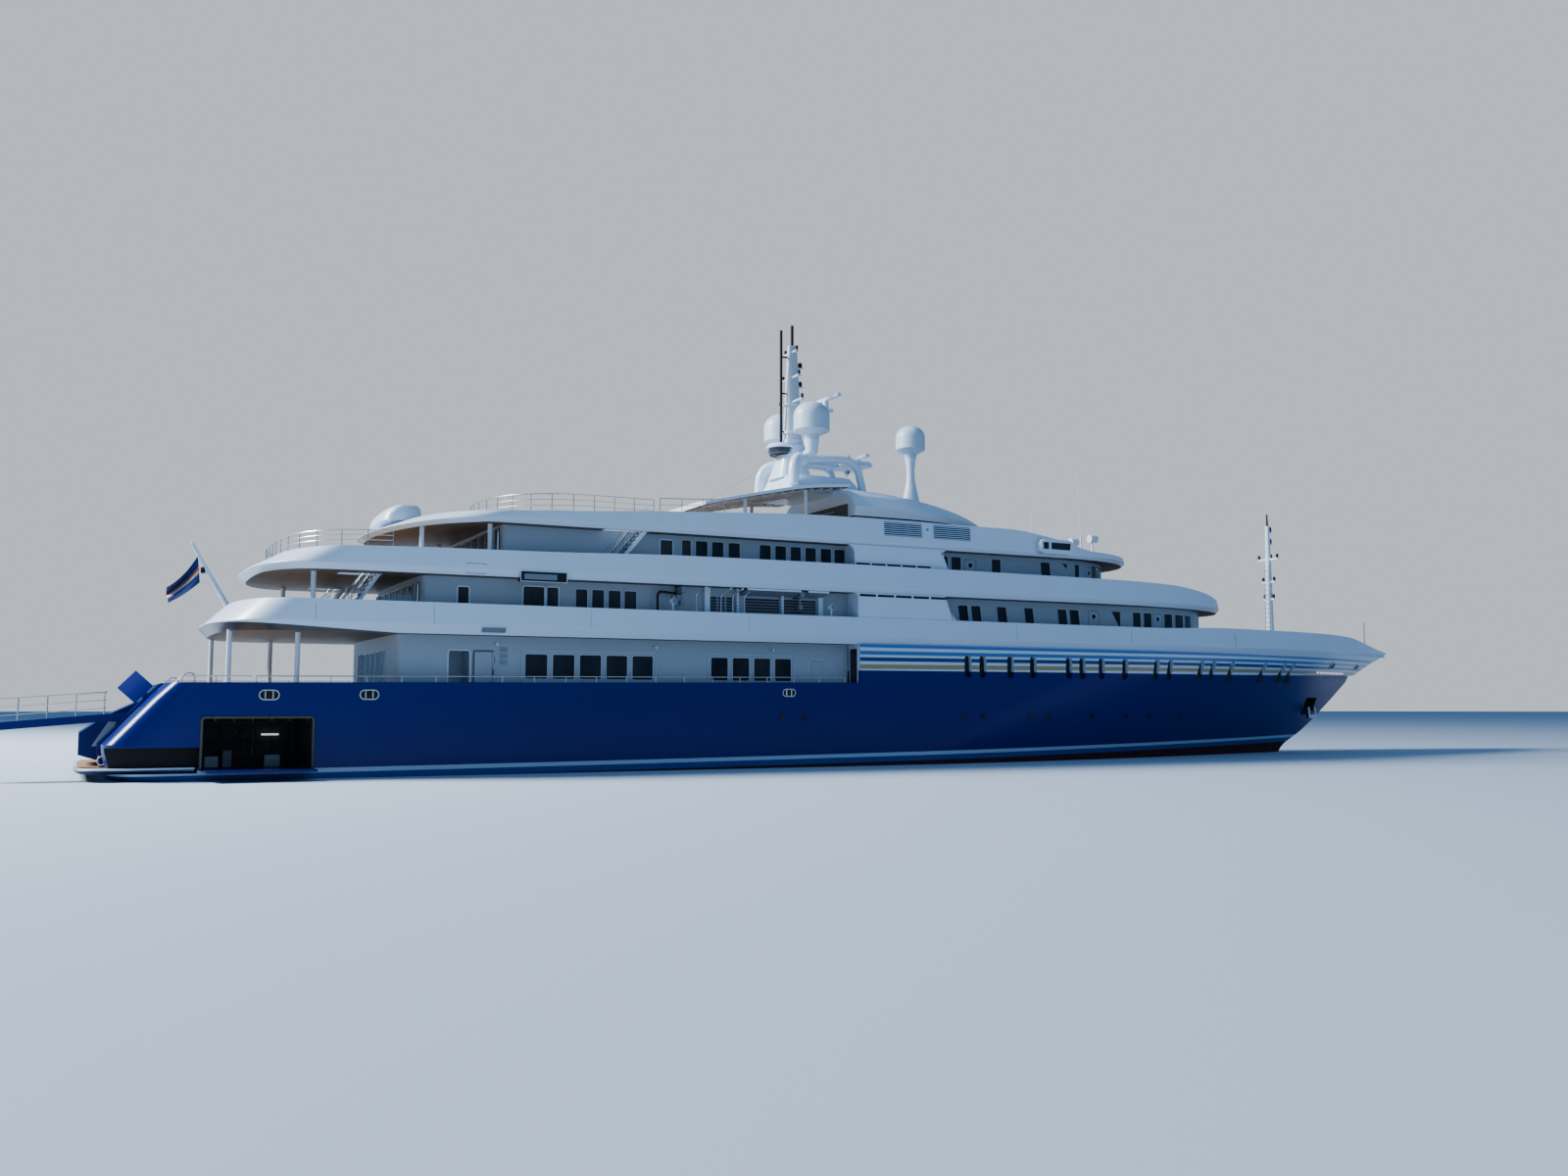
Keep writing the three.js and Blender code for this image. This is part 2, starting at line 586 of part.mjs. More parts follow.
function mainHouse() {
  const { aft, fore, half } = MAIN_HOUSE;
  const { recess, head, sill } = MAIN_DOOR;
  const room = [
    box(MAIN_DOOR.aft - CLEAR, MAIN_DOOR.fore + 0.02, -half - 1, -half + recess, sill - CLEAR, head + CLEAR),
    box(DOORWAY.aft, DOORWAY.fore, -half - 1, -half + DOORWAY.depth, MAIN.floor + 0.06, DOORWAY.head),
  ];
  const [x, y, z] = doorAxis;
  const lugs = DOOR_KNUCKLES.flatMap((t) => [-1, 1].map((s) => {
    const [near, far] = [0.5, 1.5].map((k) => z + t + s * (k * KNUCKLE.length + (k < 1 ? GAP : 0)));
    return box(x, x + 0.1, y - 0.03, y + 0.05, Math.min(near, far), Math.max(near, far));
  }));
  let made = house({
    aft, fore, half, foreRun: 0.3, forePower: 8, bottom: MAIN.floor + GAP, top: UPPER.bottom - GAP,
  });
  bothSides((side, sign) => {
    const place = (shapes) => shapes.map((shape) => mirrored(shape, sign));
    made = cut(made, place(room));
    made = cut(join(made, place(doorHinge.fixed), place(lugs)), place(doorHinge.room));
  });
  return made;
}

function mainDoor(sign) {
  const { aft, fore, sill, head, outer, inner } = MAIN_DOOR;
  const wall = -MAIN_HOUSE.half;
  const leaf = box(aft, fore - KNUCKLE.leaf, wall + outer, wall + inner, sill, head);
  const reach = KNUCKLE.length / 2;
  const tabs = DOOR_KNUCKLES.map((t) => {
    const z = doorAxis[2] + t;
    return box(fore - KNUCKLE.leaf - 0.02, fore, wall - 0.02, wall + 0.03, z - reach, z + reach);
  });
  return mirrored(join(leaf, tabs, doorHinge.moving), sign);
}

// Panels that close the side deck amidships, flush with the bands above and below.
const PANEL = { aft: MAIN.stepX, foot: -0.1, head: -1.1 };

function sidePanel(sign, inner, bandInner, outer, floor, shelf, soffit) {
  const outline = [
    [-inner - GAP, floor + GAP], [-bandInner, floor + GAP], [-bandInner, shelf + GAP],
    [-outer, shelf + GAP], [-outer, soffit - GAP], [-inner - GAP, soffit - GAP],
  ];
  const slope = (z) => PANEL.foot + ((z - floor) / (soffit - floor)) * (PANEL.head - PANEL.foot);
  const rings = [() => PANEL.aft, slope].map((x) => outline.map(([y, z]) => [x(z), y, z]));
  return mirrored(loft(rings, outline), sign);
}

// Columns that carry an overhanging deck, down to the floor below.
const columns = (places, radius, from, to) =>
  places.flatMap(([x, y]) => [-y, y].map((at) => bar([x, at, from], [x, at, to], radius, radius, 8)));

// Top of the ship

const HARDTOP = { fore: -6.1, half: 4.6, narrowing: 0.1, camber: 0.12, thick: 0.18 };
const roofEdge = along([[-15.1, 14.93], [-11.5, 15.73], [-8.5, 16.28], [-5.9, 16.48]]);
const ROOF_STATIONS = [-15.1, -13.3, -11.5, -10, -8.5, HARDTOP.fore];
const FAIRING = { aft: -5.9, fore: 6.2, half: 4.7 };

function hardtop() {
  const { fore, half, narrowing, camber, thick } = HARDTOP;
  const outline = [[-1, -thick], [-1, 0], [-0.5, camber], [0.5, camber], [1, 0], [1, -thick]];
  const sections = ROOF_STATIONS.map((x) =>
    outline.map(([u, rise]) => [x, u * (half - narrowing * (fore - x)), roofEdge(x) + rise]));
  const posts = [[-12.4, 3.3], [-8.6, 3.6]].flatMap(([x, y]) =>
    [-y, y].map((at) => bar([x, at, SUN.floor + GAP], [x, at, roofEdge(x) - 0.03], 0.11, 0.11, 8)));
  return join(loft(sections, outline), posts);
}

function fairing() {
  const plan = (scale, fore) => ({
    aft: FAIRING.aft, fore, half: FAIRING.half * scale, aftRun: 0.4, aftPower: 6, foreRun: 8, forePower: 2,
  });
  const part = (x) => Math.max(0, (x - FAIRING.aft) / (FAIRING.fore - FAIRING.aft));
  const crown = (base, drop) => (x) => base - drop * part(x) ** 1.8;
  return skin([
    ring(plan(0.93, FAIRING.fore - 0.3), SUN.floor + GAP),
    ring(plan(0.95, FAIRING.fore - 0.2), 14.3),
    ring(plan(1, FAIRING.fore), crown(15.2, 0.75)),
    ring(plan(0.9, FAIRING.fore - 0.25), crown(15.9, 1.25)),
    ring(plan(0.68, FAIRING.fore - 0.9), crown(16.4, 1.5)),
    ring(plan(0.3, FAIRING.fore - 2), crown(16.55, 1.55)),
  ]);
}

// A tapered, slightly rounded block between two heights; both rectangles are [x0, x1, half breadth].
function pylon([a0, a1, aHalf], [b0, b1, bHalf], from, to) {
  const ringOf = (x0, x1, h, z) => [
    [x0, -h * 0.5, z], [x0 + (x1 - x0) * 0.25, -h, z], [x0 + (x1 - x0) * 0.75, -h, z], [x1, -h * 0.5, z],
    [x1, h * 0.5, z], [x0 + (x1 - x0) * 0.75, h, z], [x0 + (x1 - x0) * 0.25, h, z], [x0, h * 0.5, z],
  ];
  return loft(
    [ringOf(a0, a1, aHalf, from), ringOf(b0, b1, bHalf, to)],
    ringOf(0, 1, 1, 0).map(([x, y]) => [x, y]),
  );
}

const MAST = { x: -7.55, top: 26.3, radomeY: 2.0 };
const RADOMES = [
  // name, x, y, z of the seat, radius, height of the cylinder part
  ["radome_starboard", -7.3, -MAST.radomeY, 19.45, 1.1, 0.85],
  ["radome_port", -7.3, MAST.radomeY, 19.45, 1.1, 0.85],
  ["radome_forward", 1.1, 0, 19.35, 0.95, 0.75],
];

function radome(x, y, z, radius, straight) {
  const [foot, rise, steps] = [0.62, radius * 0.82, 6];
  const shoulder = foot + straight;
  const profile = [
    [0, 0], [radius * 0.38, 0], [radius * 0.5, 0.3], [radius * 0.97, 0.55],
    [radius, foot], [radius, shoulder],
  ];
  for (let i = 1; i < steps; i++) {
    const angle = (i / steps) * (Math.PI / 2);
    profile.push([radius * Math.cos(angle), shoulder + rise * Math.sin(angle)]);
  }
  profile.push([0, shoulder + rise]);
  const dome = new THREE.LatheGeometry(profile.map(([r, t]) => new THREE.Vector2(r, t)), 20);
  dome.rotateX(Math.PI / 2);
  return solidFrom(dome).translate([x, y, z]);
}

const SCANNERS = [
  // name, x, y, z of the bearing, length of the bar
  ["radar_scanner_upper", -5.2, 0, 22.3, 3.5],
  ["radar_scanner_lower", -2.9, 0, 18.75, 2.6],
];

// The foot of the radar mast is let into the hardtop and the fairing. grow widens it to its recess.
const mastFoot = (grow = 0) =>
  pylon([-9.2 - grow, -3.3 + grow, 2.6 + grow], [-8.6 - grow, -4.2 + grow, 2.0 + grow], 16.1 - grow, 17.3);

// The cone under the forward radome is let into the fairing in the same way.
const radomeCone = (grow = 0) => bar([1.1, 0, 15.5 - grow], [1.1, 0, 17.6], 0.75 + grow, 0.35 + grow, 12);

function radomeStalk() {
  return join(radomeCone(), bar([1.1, 0, 17.5], [1.1, 0, RADOMES[2][3] - GAP], 0.26, 0.26, 12));
}

function radarMast() {
  const base = mastFoot();
  const trunk = pylon([-8.9, -6.6, 1.2], [-8.4, -6.9, 0.7], 17.25, 19.4);
  const spar = pylon([-8.15, -7.0, 0.42], [-7.85, -7.3, 0.2], 19.35, MAST.top - 0.6);
  const arms = [-1, 1].flatMap((s) => [
    bar([-7.3, s * 0.5, 18.35], [-7.3, s * MAST.radomeY, 18.8], 0.34, 0.3, 8),
    bar([-7.3, s * MAST.radomeY, 18.55], [-7.3, s * MAST.radomeY, 19.45 - GAP], 0.42, 0.4, 12),
    bar([-8.6, s * 2.3, 17.0], [-7.6, s * 1.5, 18.6], 0.3, 0.22, 8),
    bar([-3.5, s * 1.9, 17.0], [-4.3, s * 1.3, 18.7], 0.3, 0.2, 8),
    bar([-4.3, s * 1.3, 18.6], [-7.2, s * 1.0, 18.5], 0.22, 0.28, 8),
  ]);
  const shelf = box(-4.6, -2.4, -1.3, 1.3, 18.35, 18.6);
  const bridge = box(-7.2, -4.4, -0.45, 0.45, 18.3, 18.6);
  const upperPost = bar([-5.2, 0, 21.9], [-5.2, 0, 22.18], 0.2);
  const upperShelf = [box(-7.3, -4.8, -0.28, 0.28, 21.75, 21.95), upperPost];
  const lowerPost = bar([-2.9, 0, 18.5], [-2.9, 0, 18.75 - 0.12], 0.2);
  const yards = [[22.05, 1.5], [23.6, 1.1], [25.2, 0.8]].map(([z, half]) =>
    box(-7.75, -7.55, -half, half, z, z + 0.1));
  const pole = bar([-8.35, 0, 19.3], [-8.35, 0, 26.6], 0.09, 0.09, 8);
  const ties = [20.2, 22.6, 24.9].map((z) => box(-8.35, -7.6, -0.05, 0.05, z, z + 0.08));
  const lamp = [bar([-7.58, 0, 25.6], [-7.58, 0, 26.6], 0.09), bar([-7.58, 0, 26.5], [-7.58, 0, 27.0], 0.14)];
  const drum = bar([-8.3, 0, 19.15], [-8.3, 0, 19.4], 0.95, 0.85, 16);
  return join(base, trunk, spar, arms, shelf, bridge, upperShelf, lowerPost, yards, pole, ties, lamp, drum);
}

// A scanner turns on a spigot that enters its pedestal's head.
function scanner(x, y, z, length) {
  const hub = bar([x, y, z - 0.12 + GAP], [x, y, z + 0.22], 0.2, 0.17, 12);
  const section = [[-0.14, 0], [0.1, 0], [0.16, 0.1], [0.05, 0.2], [-0.14, 0.2]];
  return join(hub, prism(section, "y", -length / 2, length / 2).translate([x, y, z + 0.16]));
}

const FOREMAST = { x: 33.0, top: 17.8 };

function foremast() {
  const { x, top } = FOREMAST;
  const pole = bar([x, 0, UPPER.floor + GAP], [x, 0, top - 0.9], 0.3, 0.16, 12);
  const tip = bar([x, 0, top - 0.95], [x, 0, top], 0.08, 0.06, 8);
  const cross = [[14.3, 0.95], [12.6, 0.6], [11.3, 0.5]].map(([z, half]) =>
    box(x - 0.08, x + 0.08, -half, half, z, z + 0.14));
  const lamps = [14.44, 15.6, 16.5].map((z) => bar([x + 0.28, 0, z], [x + 0.28, 0, z + 0.34], 0.1, 0.1, 8));
  const shelves = [14.36, 15.52, 16.42].map((z) => box(x - 0.05, x + 0.42, -0.12, 0.12, z, z + 0.1));
  return join(pole, tip, cross, lamps, shelves);
}

// A staff that stands in a short upright socket and may lean aft.
function staff(x, z, reach, rise, radius) {
  const socket = bar([x, 0, z], [x, 0, z + 0.3], radius + 0.02, radius + 0.02, 8);
  return join(socket, bar([x, 0, z + 0.2], [x - reach, 0, z + rise], radius, radius * 0.7, 8));
}

// A bar of square section along points of a deck's edge.
const SQUARE = [[1, 1], [-1, 1], [-1, -1], [1, -1]];

function rail(points, lift, radius) {
  const rings = points.map(([x, y, z], i) => {
    const [before, after] = [points[Math.max(i - 1, 0)], points[Math.min(i + 1, points.length - 1)]];
    const run = new THREE.Vector2(after[0] - before[0], after[1] - before[1]).setLength(radius);
    return SQUARE.map(([side, up]) => [x - run.y * side, y + run.x * side, z + lift + up * radius]);
  });
  return loft(rings, SQUARE);
}

// A railing: bars at the given heights, and posts about as far apart as the spacing says.
function railing(points, bars, spacing, radius = 0.035) {
  const top = Math.max(...bars);
  const posts = [];
  for (let i = 0; i < points.length - 1; i++) {
    const [a, b] = [new THREE.Vector3(...points[i]), new THREE.Vector3(...points[i + 1])];
    const count = Math.max(1, Math.round(a.distanceTo(b) / spacing));
    for (let k = 0; k < count; k++) posts.push(a.clone().lerp(b, k / count));
  }
  posts.push(new THREE.Vector3(...points[points.length - 1]));
  const uprights = posts.map(({ x, y, z }) => bar([x, y, z], [x, y, z + top], radius * 0.9, radius * 0.9, 4));
  return join(bars.map((lift) => rail(points, lift, radius)), uprights);
}

// Points of a plan's edge from x0 aft round the stern and forward to x0 again.
function sternLine(plan, by, x0, height) {
  const side = edge(inset(plan, by)).filter(([x]) => x < x0);
  const half = [...side, [x0, plan.half - by]];
  const port = half.slice(1).map(([x, y]) => [x, y, height(x)]);
  const starboard = half.map(([x, y]) => [x, -y, height(x)]).reverse();
  return [...starboard, ...port];
}

// Stairs of steps between two side strings.
function stair(x0, z0, x1, z1, y, half, steps) {
  const [run, rise] = [(x1 - x0) / steps, (z1 - z0) / steps];
  const flip = Math.sign(run);
  const thick = 0.26;
  const outline = [
    [x0, z0], [x0 + flip * thick * 1.4, z0], [x1, z1 - thick], [x1, z1], [x1 - flip * 0.1, z1],
    [x0, z0 + thick * 1.2],
  ];
  const string = (at) => prism(outline, "y", at - 0.04, at + 0.04);
  const treads = [];
  for (let i = 1; i < steps; i++) {
    const [x, z] = [x0 + i * run, z0 + i * rise];
    treads.push(box(x - 0.14, x + 0.14, y - half, y + half, z - 0.025, z + 0.025));
  }
  return join(string(y - half), string(y + half), treads);
}

// Beams that run out of the deckhead of the tender bay, each with its hook.
const DAVIT = { places: [-17.6, -10.4], bottom: 9.42, top: 9.74, inner: -0.8, outer: -6.6, width: 0.32 };

function davit(x, sign) {
  const { bottom, top, inner, outer, width } = DAVIT;
  const beam = box(x - width / 2, x + width / 2, outer, inner, bottom, top);
  const runners = [-1.2, -3.2, -5.2].map((y) =>
    box(x - 0.1, x + 0.1, y - 0.2, y + 0.2, top - 0.02, BRIDGE.bottom - GAP));
  const fall = bar([x, -6.25, bottom + 0.05], [x, -6.25, 8.95], 0.06);
  const hook = [fall, box(x - 0.12, x + 0.12, -6.4, -6.1, 8.75, 9.0)];
  return mirrored(join(beam, runners, hook), sign);
}

function davitSlot(x, sign) {
  const { bottom, inner, width } = DAVIT;
  const half = width / 2 + CLEAR;
  return mirrored(box(x - half, x + half, -7, inner + CLEAR, bottom - CLEAR, 10), sign);
}

function anchor(sign) {
  const { x, z, depth } = ANCHOR_POCKET;
  const shank = bar([x + 0.2, -depth - 0.08, z + 0.3], [x - 0.1, -1.35, z - 0.65], 0.1, 0.12);
  const crown = box(x - 0.5, x + 0.3, -1.5, -1.2, z - 0.85, z - 0.6);
  const blade = [[-1.48, z - 0.8], [-1.22, z - 0.8], [-1.3, z - 0.1], [-1.42, z - 0.05]];
  const flukes = [-0.42, 0.22].map((at) => prism(blade, "x", x + at - 0.1, x + at + 0.1));
  return mirrored(join(shank, crown, flukes), sign);
}

function lidShape() {
  const { length, width, thick, open } = LID;
  const { down, out } = TRANSOM;
  const corner = (t, o, dy) => lidAxis.map((v, i) => v + down[i] * t + out[i] * o + (i === 1 ? dy : 0));
  const slab = (reach, near, far) => {
    const ringAt = (t) => [
      corner(t, 0.05, near), corner(t, 0.05, far),
      corner(t, 0.05 - thick, far), corner(t, 0.05 - thick, near),
    ];
    return loft([ringAt(-reach), ringAt(reach)], [[0, 0], [1, 0], [1, -1], [0, -1]]);
  };
  const tab = slab(KNUCKLE.length / 2, 0, KNUCKLE.leaf + 0.02);
  const shut = join(slab(length / 2, KNUCKLE.leaf, width), tab, lidHinge.moving);
  const turn = new THREE.Matrix4()
    .makeTranslation(...lidAxis)
    .multiply(
      new THREE.Matrix4().makeRotationAxis(new THREE.Vector3(...down), THREE.MathUtils.degToRad(-open)),
    )
    .multiply(new THREE.Matrix4().makeTranslation(...lidAxis.map((v) => -v)));
  return shut.transform(turn.elements);
}

// The ensign droops from its upper corner, which is made fast to the staff.
const ENSIGN = [
  [-41.15, 10.87], [-41.0, 9.48], [-42.0, 8.85], [-42.45, 8.35], [-42.6, 9.2], [-42.17, 9.72],
  [-41.58, 10.24],
];

const WING_STATION = [
  [5.9, 12.85], [6.1, 12.72], [8.2, 12.72], [8.45, 12.9], [8.35, 13.5], [8.1, 13.62], [6.2, 13.62],
  [5.95, 13.45],
];

// Stairs that go up through a deck, each with the well that is cut for it.
const STAIRS = {
  bridge: { foot: -35.2, head: -33.2, y: 4.9, half: 0.4, from: UPPER.floor, to: BRIDGE.floor, steps: 12 },
  sun: { foot: -22.0, head: -19.6, y: 6.02, half: 0.3, from: BRIDGE.floor, to: SUN.floor, steps: 12 },
};
const stairWells = ({ foot, head, y, half, to }) => {
  const reach = half + 0.05;
  return [-y, y].map((at) => box(foot, head + GAP, at - reach, at + reach, to - 1, to + 0.5));
};
const deckStair = ({ foot, head, y, half, from, to, steps }, sign) =>
  mirrored(stair(foot, from + GAP, head, to, -y, half, steps), sign);

function windlass() {
  const [x, z] = [36.0, UPPER.floor + GAP];
  const bed = box(x - 0.9, x + 0.9, -1.5, 1.5, z, z + 0.12);
  const gear = [-1, 1].flatMap((s) => [
    bar([x, s * 0.9, z + 0.1], [x, s * 0.9, z + 0.45], 0.36, 0.3, 12),
    bar([x, s * 0.9, z + 0.4], [x, s * 0.9, z + 0.85], 0.22, 0.28, 12),
    box(x - 0.75, x - 0.2, s * 0.9 - 0.25, s * 0.9 + 0.25, z + 0.1, z + 0.5),
  ]);
  return join(bed, gear);
}

// Rails
const bridgeCap = { ...BRIDGE_PLAN, aft: BRIDGE_PLAN.aft + 1.3 - 0.096 };
const bridgeRail = sternLine(bridgeCap, 0.176, -33, (x) => bridgeTop(x) + GAP);
const sunRail = sternLine({ ...SUN_PLAN, aft: -28.3 }, 1.1, -19, () => SUN.floor + GAP);

// Assembly

const blueTopsides = ring(waterline(MAIN.blueTop), (x) => blueEdge(x) + GAP);
const topsides = skin([blueTopsides, ...[6.2, UPPER.bottom - GAP].map((z) => ring(waterline(z), z))]);

piece("hull", buildHull(), "hull_blue");
piece("forward_topsides", topsides.trimByPlane([1, 0, 0], MAIN.stepX), "striped_paint");
piece("swim_platform", swimPlatform(), "teak");
piece("main_deck_house", mainHouse(), "white_paint");

const upperDeck = tray({
  plan: UPPER_PLAN, bottom: UPPER.bottom, knuckle: 7.3, top: upperTop, floor: UPPER.floor,
  wall: 0.16, rake: 1.1, chamfer: 0.22, flare: [0.9, 0.6],
});
const mainColumns = columns([[-40.0, 4.8], [-37.0, 5.2]], 0.1, MAIN.floor + GAP, 7.0);
piece("upper_deck", join(upperDeck, mainColumns), "white_paint");

const upperHouse = house({
  aft: -31.4, fore: 23.8, half: 5.8, foreRun: 9, forePower: 2.2,
  bottom: UPPER.floor + GAP, top: BRIDGE.bottom - GAP,
});
const slots = DAVIT.places.flatMap((x) => [davitSlot(x, -1), davitSlot(x, 1)]);
piece("upper_deck_house", cut(upperHouse, slots), "white_paint");

const bridgeDeck = tray({
  plan: BRIDGE_PLAN, bottom: BRIDGE.bottom, knuckle: 10.1, top: bridgeTop, floor: BRIDGE.floor,
  wall: 0.16, rake: 1.3, chamfer: 0.2,
});
const upperColumns = columns([[-36.4, 5.4]], 0.1, UPPER.floor + GAP, 9.9);
piece("bridge_deck", join(cut(bridgeDeck, stairWells(STAIRS.bridge)), upperColumns), "white_paint");

const bridgeHouse = house({
  aft: -27.4, fore: 14.8, half: 5.6, foreRun: 7, forePower: 2.4,
  bottom: BRIDGE.floor + GAP, top: SUN.bottom - GAP,
});
piece("bridge_deck_house", bridgeHouse, "white_paint");

const sunDeck = tray({
  plan: SUN_PLAN, bottom: sunBottom, knuckle: (x) => sunBottom(x) + 0.22, top: sunTop, floor: SUN.floor,
  wall: 0.16, rake: 1.6, chamfer: 0.2,
});
piece("sun_deck", cut(sunDeck, stairWells(STAIRS.sun)), "white_paint");
piece("hardtop", cut(hardtop(), mastFoot(GAP)), "white_paint");
piece("top_fairing", cut(fairing(), mastFoot(GAP), radomeCone(GAP)), "white_paint");

piece("radar_mast", radarMast(), "white_paint");
piece("radome_stalk", radomeStalk(), "white_paint");
for (const [name, ...shape] of RADOMES) piece(name, radome(...shape), "white_paint");
for (const [name, ...shape] of SCANNERS) piece(name, scanner(...shape), "white_paint");
piece("foremast", foremast(), "white_paint");
piece("windlass", windlass(), "steel");
piece("bridge_deck_rail", railing(bridgeRail, [0.4, 0.75], 2.4), "steel");
piece("sun_deck_rail", railing(sunRail, [0.85, 1.2, 1.5], 2.4), "steel");
piece("jackstaff", staff(43.2, UPPER.floor + GAP, 0, 2.8, 0.05), "steel");
piece("ensign_staff", staff(-39.72, upperTop(-39.72) + GAP, 1.7, 3.1, 0.07), "white_paint");
piece("ensign", prism(ENSIGN, "y", -0.025, 0.025), "cloth");
piece("passerelle", gangway(), "hull_blue");
piece("stern_lid", lidShape(), "hull_blue");

bothSides((side, sign) => {
  piece(`stern_stair_${side}`, sternStair(sign), "teak");
  piece(`garage_door_${side}`, garageDoor(sign, sign < 0), "hull_blue");
  piece(`main_deck_door_${side}`, mainDoor(sign), "white_paint");
  piece(`shaft_line_${side}`, shaftLine(sign), "steel");
  piece(`propeller_${side}`, mirrored(screwShape(), sign), "bronze");
  piece(`rudder_${side}`, rudderShape(sign), "antifouling");
  piece(`stabiliser_fin_${side}`, finShape(sign), "antifouling");
  piece(`anchor_${side}`, anchor(sign), "steel");
  const upperPanel = sidePanel(sign, 5.8, 6.85, 7.02, UPPER.floor, 8.38, BRIDGE.bottom);
  piece(`side_panel_upper_${side}`, upperPanel, "white_paint");
  const bridgePanel = sidePanel(sign, 5.6, 6.5, 6.66, BRIDGE.floor, 11.42, SUN.bottom);
  piece(`side_panel_bridge_${side}`, bridgePanel, "white_paint");
  const cap = [-39, BULWARK[1][0]].map((x) => [x, sign * 7.11, bulwarkTop(x) + GAP]);
  piece(`main_deck_rail_${side}`, railing(cap, [0.28], 3.2), "steel");
  piece(`bridge_deck_stair_${side}`, deckStair(STAIRS.bridge, sign), "white_paint");
  piece(`sun_deck_stair_${side}`, deckStair(STAIRS.sun, sign), "white_paint");
  const wing = prism(WING_STATION, "y", -HALF_BEAM, -SUN_PLAN.half - GAP);
  piece(`wing_station_${side}`, mirrored(wing, sign), "white_paint");
  ["aft", "forward"].forEach((end, i) =>
    piece(`tender_davit_${end}_${side}`, davit(DAVIT.places[i], sign), "steel"));
});

export default ship;
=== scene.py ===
"""Looks of a motor yacht, a 1:10 model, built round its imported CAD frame.

Lengths are in metres of the full-size ship; MODEL turns them into the model's metres when a mesh is made.
X points forward, Y to port and Z up from the waterline. What is alike on both sides is worked out for the
starboard side and mirrored.
"""

import json
import math
from dataclasses import dataclass, replace
from functools import cache

import bpy
import numpy as np
from bpy.props import FloatProperty, FloatVectorProperty, PointerProperty
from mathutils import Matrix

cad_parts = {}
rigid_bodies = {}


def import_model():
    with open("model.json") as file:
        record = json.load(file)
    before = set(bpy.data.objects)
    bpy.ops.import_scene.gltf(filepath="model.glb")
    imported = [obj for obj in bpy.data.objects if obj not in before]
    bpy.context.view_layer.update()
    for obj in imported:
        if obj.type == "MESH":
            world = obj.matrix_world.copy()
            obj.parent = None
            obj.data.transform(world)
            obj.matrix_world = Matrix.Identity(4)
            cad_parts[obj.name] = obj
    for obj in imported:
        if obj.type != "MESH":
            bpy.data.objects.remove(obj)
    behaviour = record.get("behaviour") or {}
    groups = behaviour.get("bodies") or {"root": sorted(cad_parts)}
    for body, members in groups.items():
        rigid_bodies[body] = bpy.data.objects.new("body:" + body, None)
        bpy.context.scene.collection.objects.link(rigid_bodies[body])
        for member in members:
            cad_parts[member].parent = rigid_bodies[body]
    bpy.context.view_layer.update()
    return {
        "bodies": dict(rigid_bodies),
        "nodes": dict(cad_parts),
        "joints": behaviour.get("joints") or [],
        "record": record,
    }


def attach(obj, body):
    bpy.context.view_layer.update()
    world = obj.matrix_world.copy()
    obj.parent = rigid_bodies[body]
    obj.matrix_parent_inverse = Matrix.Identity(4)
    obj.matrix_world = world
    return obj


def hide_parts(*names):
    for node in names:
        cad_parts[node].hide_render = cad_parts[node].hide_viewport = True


bl_info = {
    "name": "Motor Yacht",
    "version": (1, 0, 0),
    "blender": (4, 5, 0),
    "location": "View3D > Sidebar > Yacht",
    "description": "Paint, windows, rails and fittings of a motor yacht",
    "category": "Add Mesh",
}

MODEL = 0.1
GAP = 0.003

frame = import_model()


# Sizes that a user would change

def tint(name, about, value):
    return FloatVectorProperty(name=name, description=about, subtype="COLOR", default=value)


def extent(name, about, value, least):
    return FloatProperty(name=name, description=about, default=value, min=least, unit="LENGTH")


class YachtPaint(bpy.types.PropertyGroup):
    """Colours of the paint and of the other finishes."""

    hull: tint("Hull", "Topsides below the stripes", (0.0012, 0.008, 0.12))
    boot_stripe: tint("Boot stripe", "Line above the water", (0.38, 0.50, 0.66))
    water_band: tint("Water band", "Band under the boot stripe", (0.006, 0.05, 0.20))
    antifouling: tint("Antifouling", "Bottom paint", (0.035, 0.006, 0.008))
    # The white carries painted shade: the paint's own white, dimmed and turned blue like a side lit only by
    # the sky.
    white: tint("White", "Superstructure", (0.60, 0.73, 0.88))
    stripe_blue: tint("Blue stripes", "Two upper stripes", (0.03, 0.16, 0.44))
    stripe_navy: tint("Navy stripe", "Third stripe", (0.006, 0.03, 0.15))
    stripe_gold: tint("Gold stripe", "Lowest stripe", (0.36, 0.27, 0.12))
    # The soffit colour carries painted shade: a warm off-white darkened as the decks' undersides fall in
    # shadow.
    soffit: tint("Soffit", "Undersides of the decks", (0.11, 0.095, 0.08))
    teak: tint("Teak", "Laid decks", (0.33, 0.20, 0.105))
    cloth: tint("Ensign", "Field of the ensign", (0.01, 0.025, 0.16))


class YachtFit(bpy.types.PropertyGroup):
    """Sizes of the small work, in metres of the full-size ship."""

    frame_width: extent("Window frame", "Width of a window's frame", 0.05, 0.01)
    frame_stand: extent("Frame stand", "How far a frame stands proud", 0.03, 0.005)
    rail: extent("Rail", "Radius of a hand rail", 0.028, 0.01)
    post: extent("Post", "Radius of a rail post", 0.022, 0.01)
    plank: extent("Plank", "Width of a deck plank", 0.14, 0.05)
    slot_depth: extent("Slot depth", "Depth of the hull's tall windows", 0.3, 0.1)


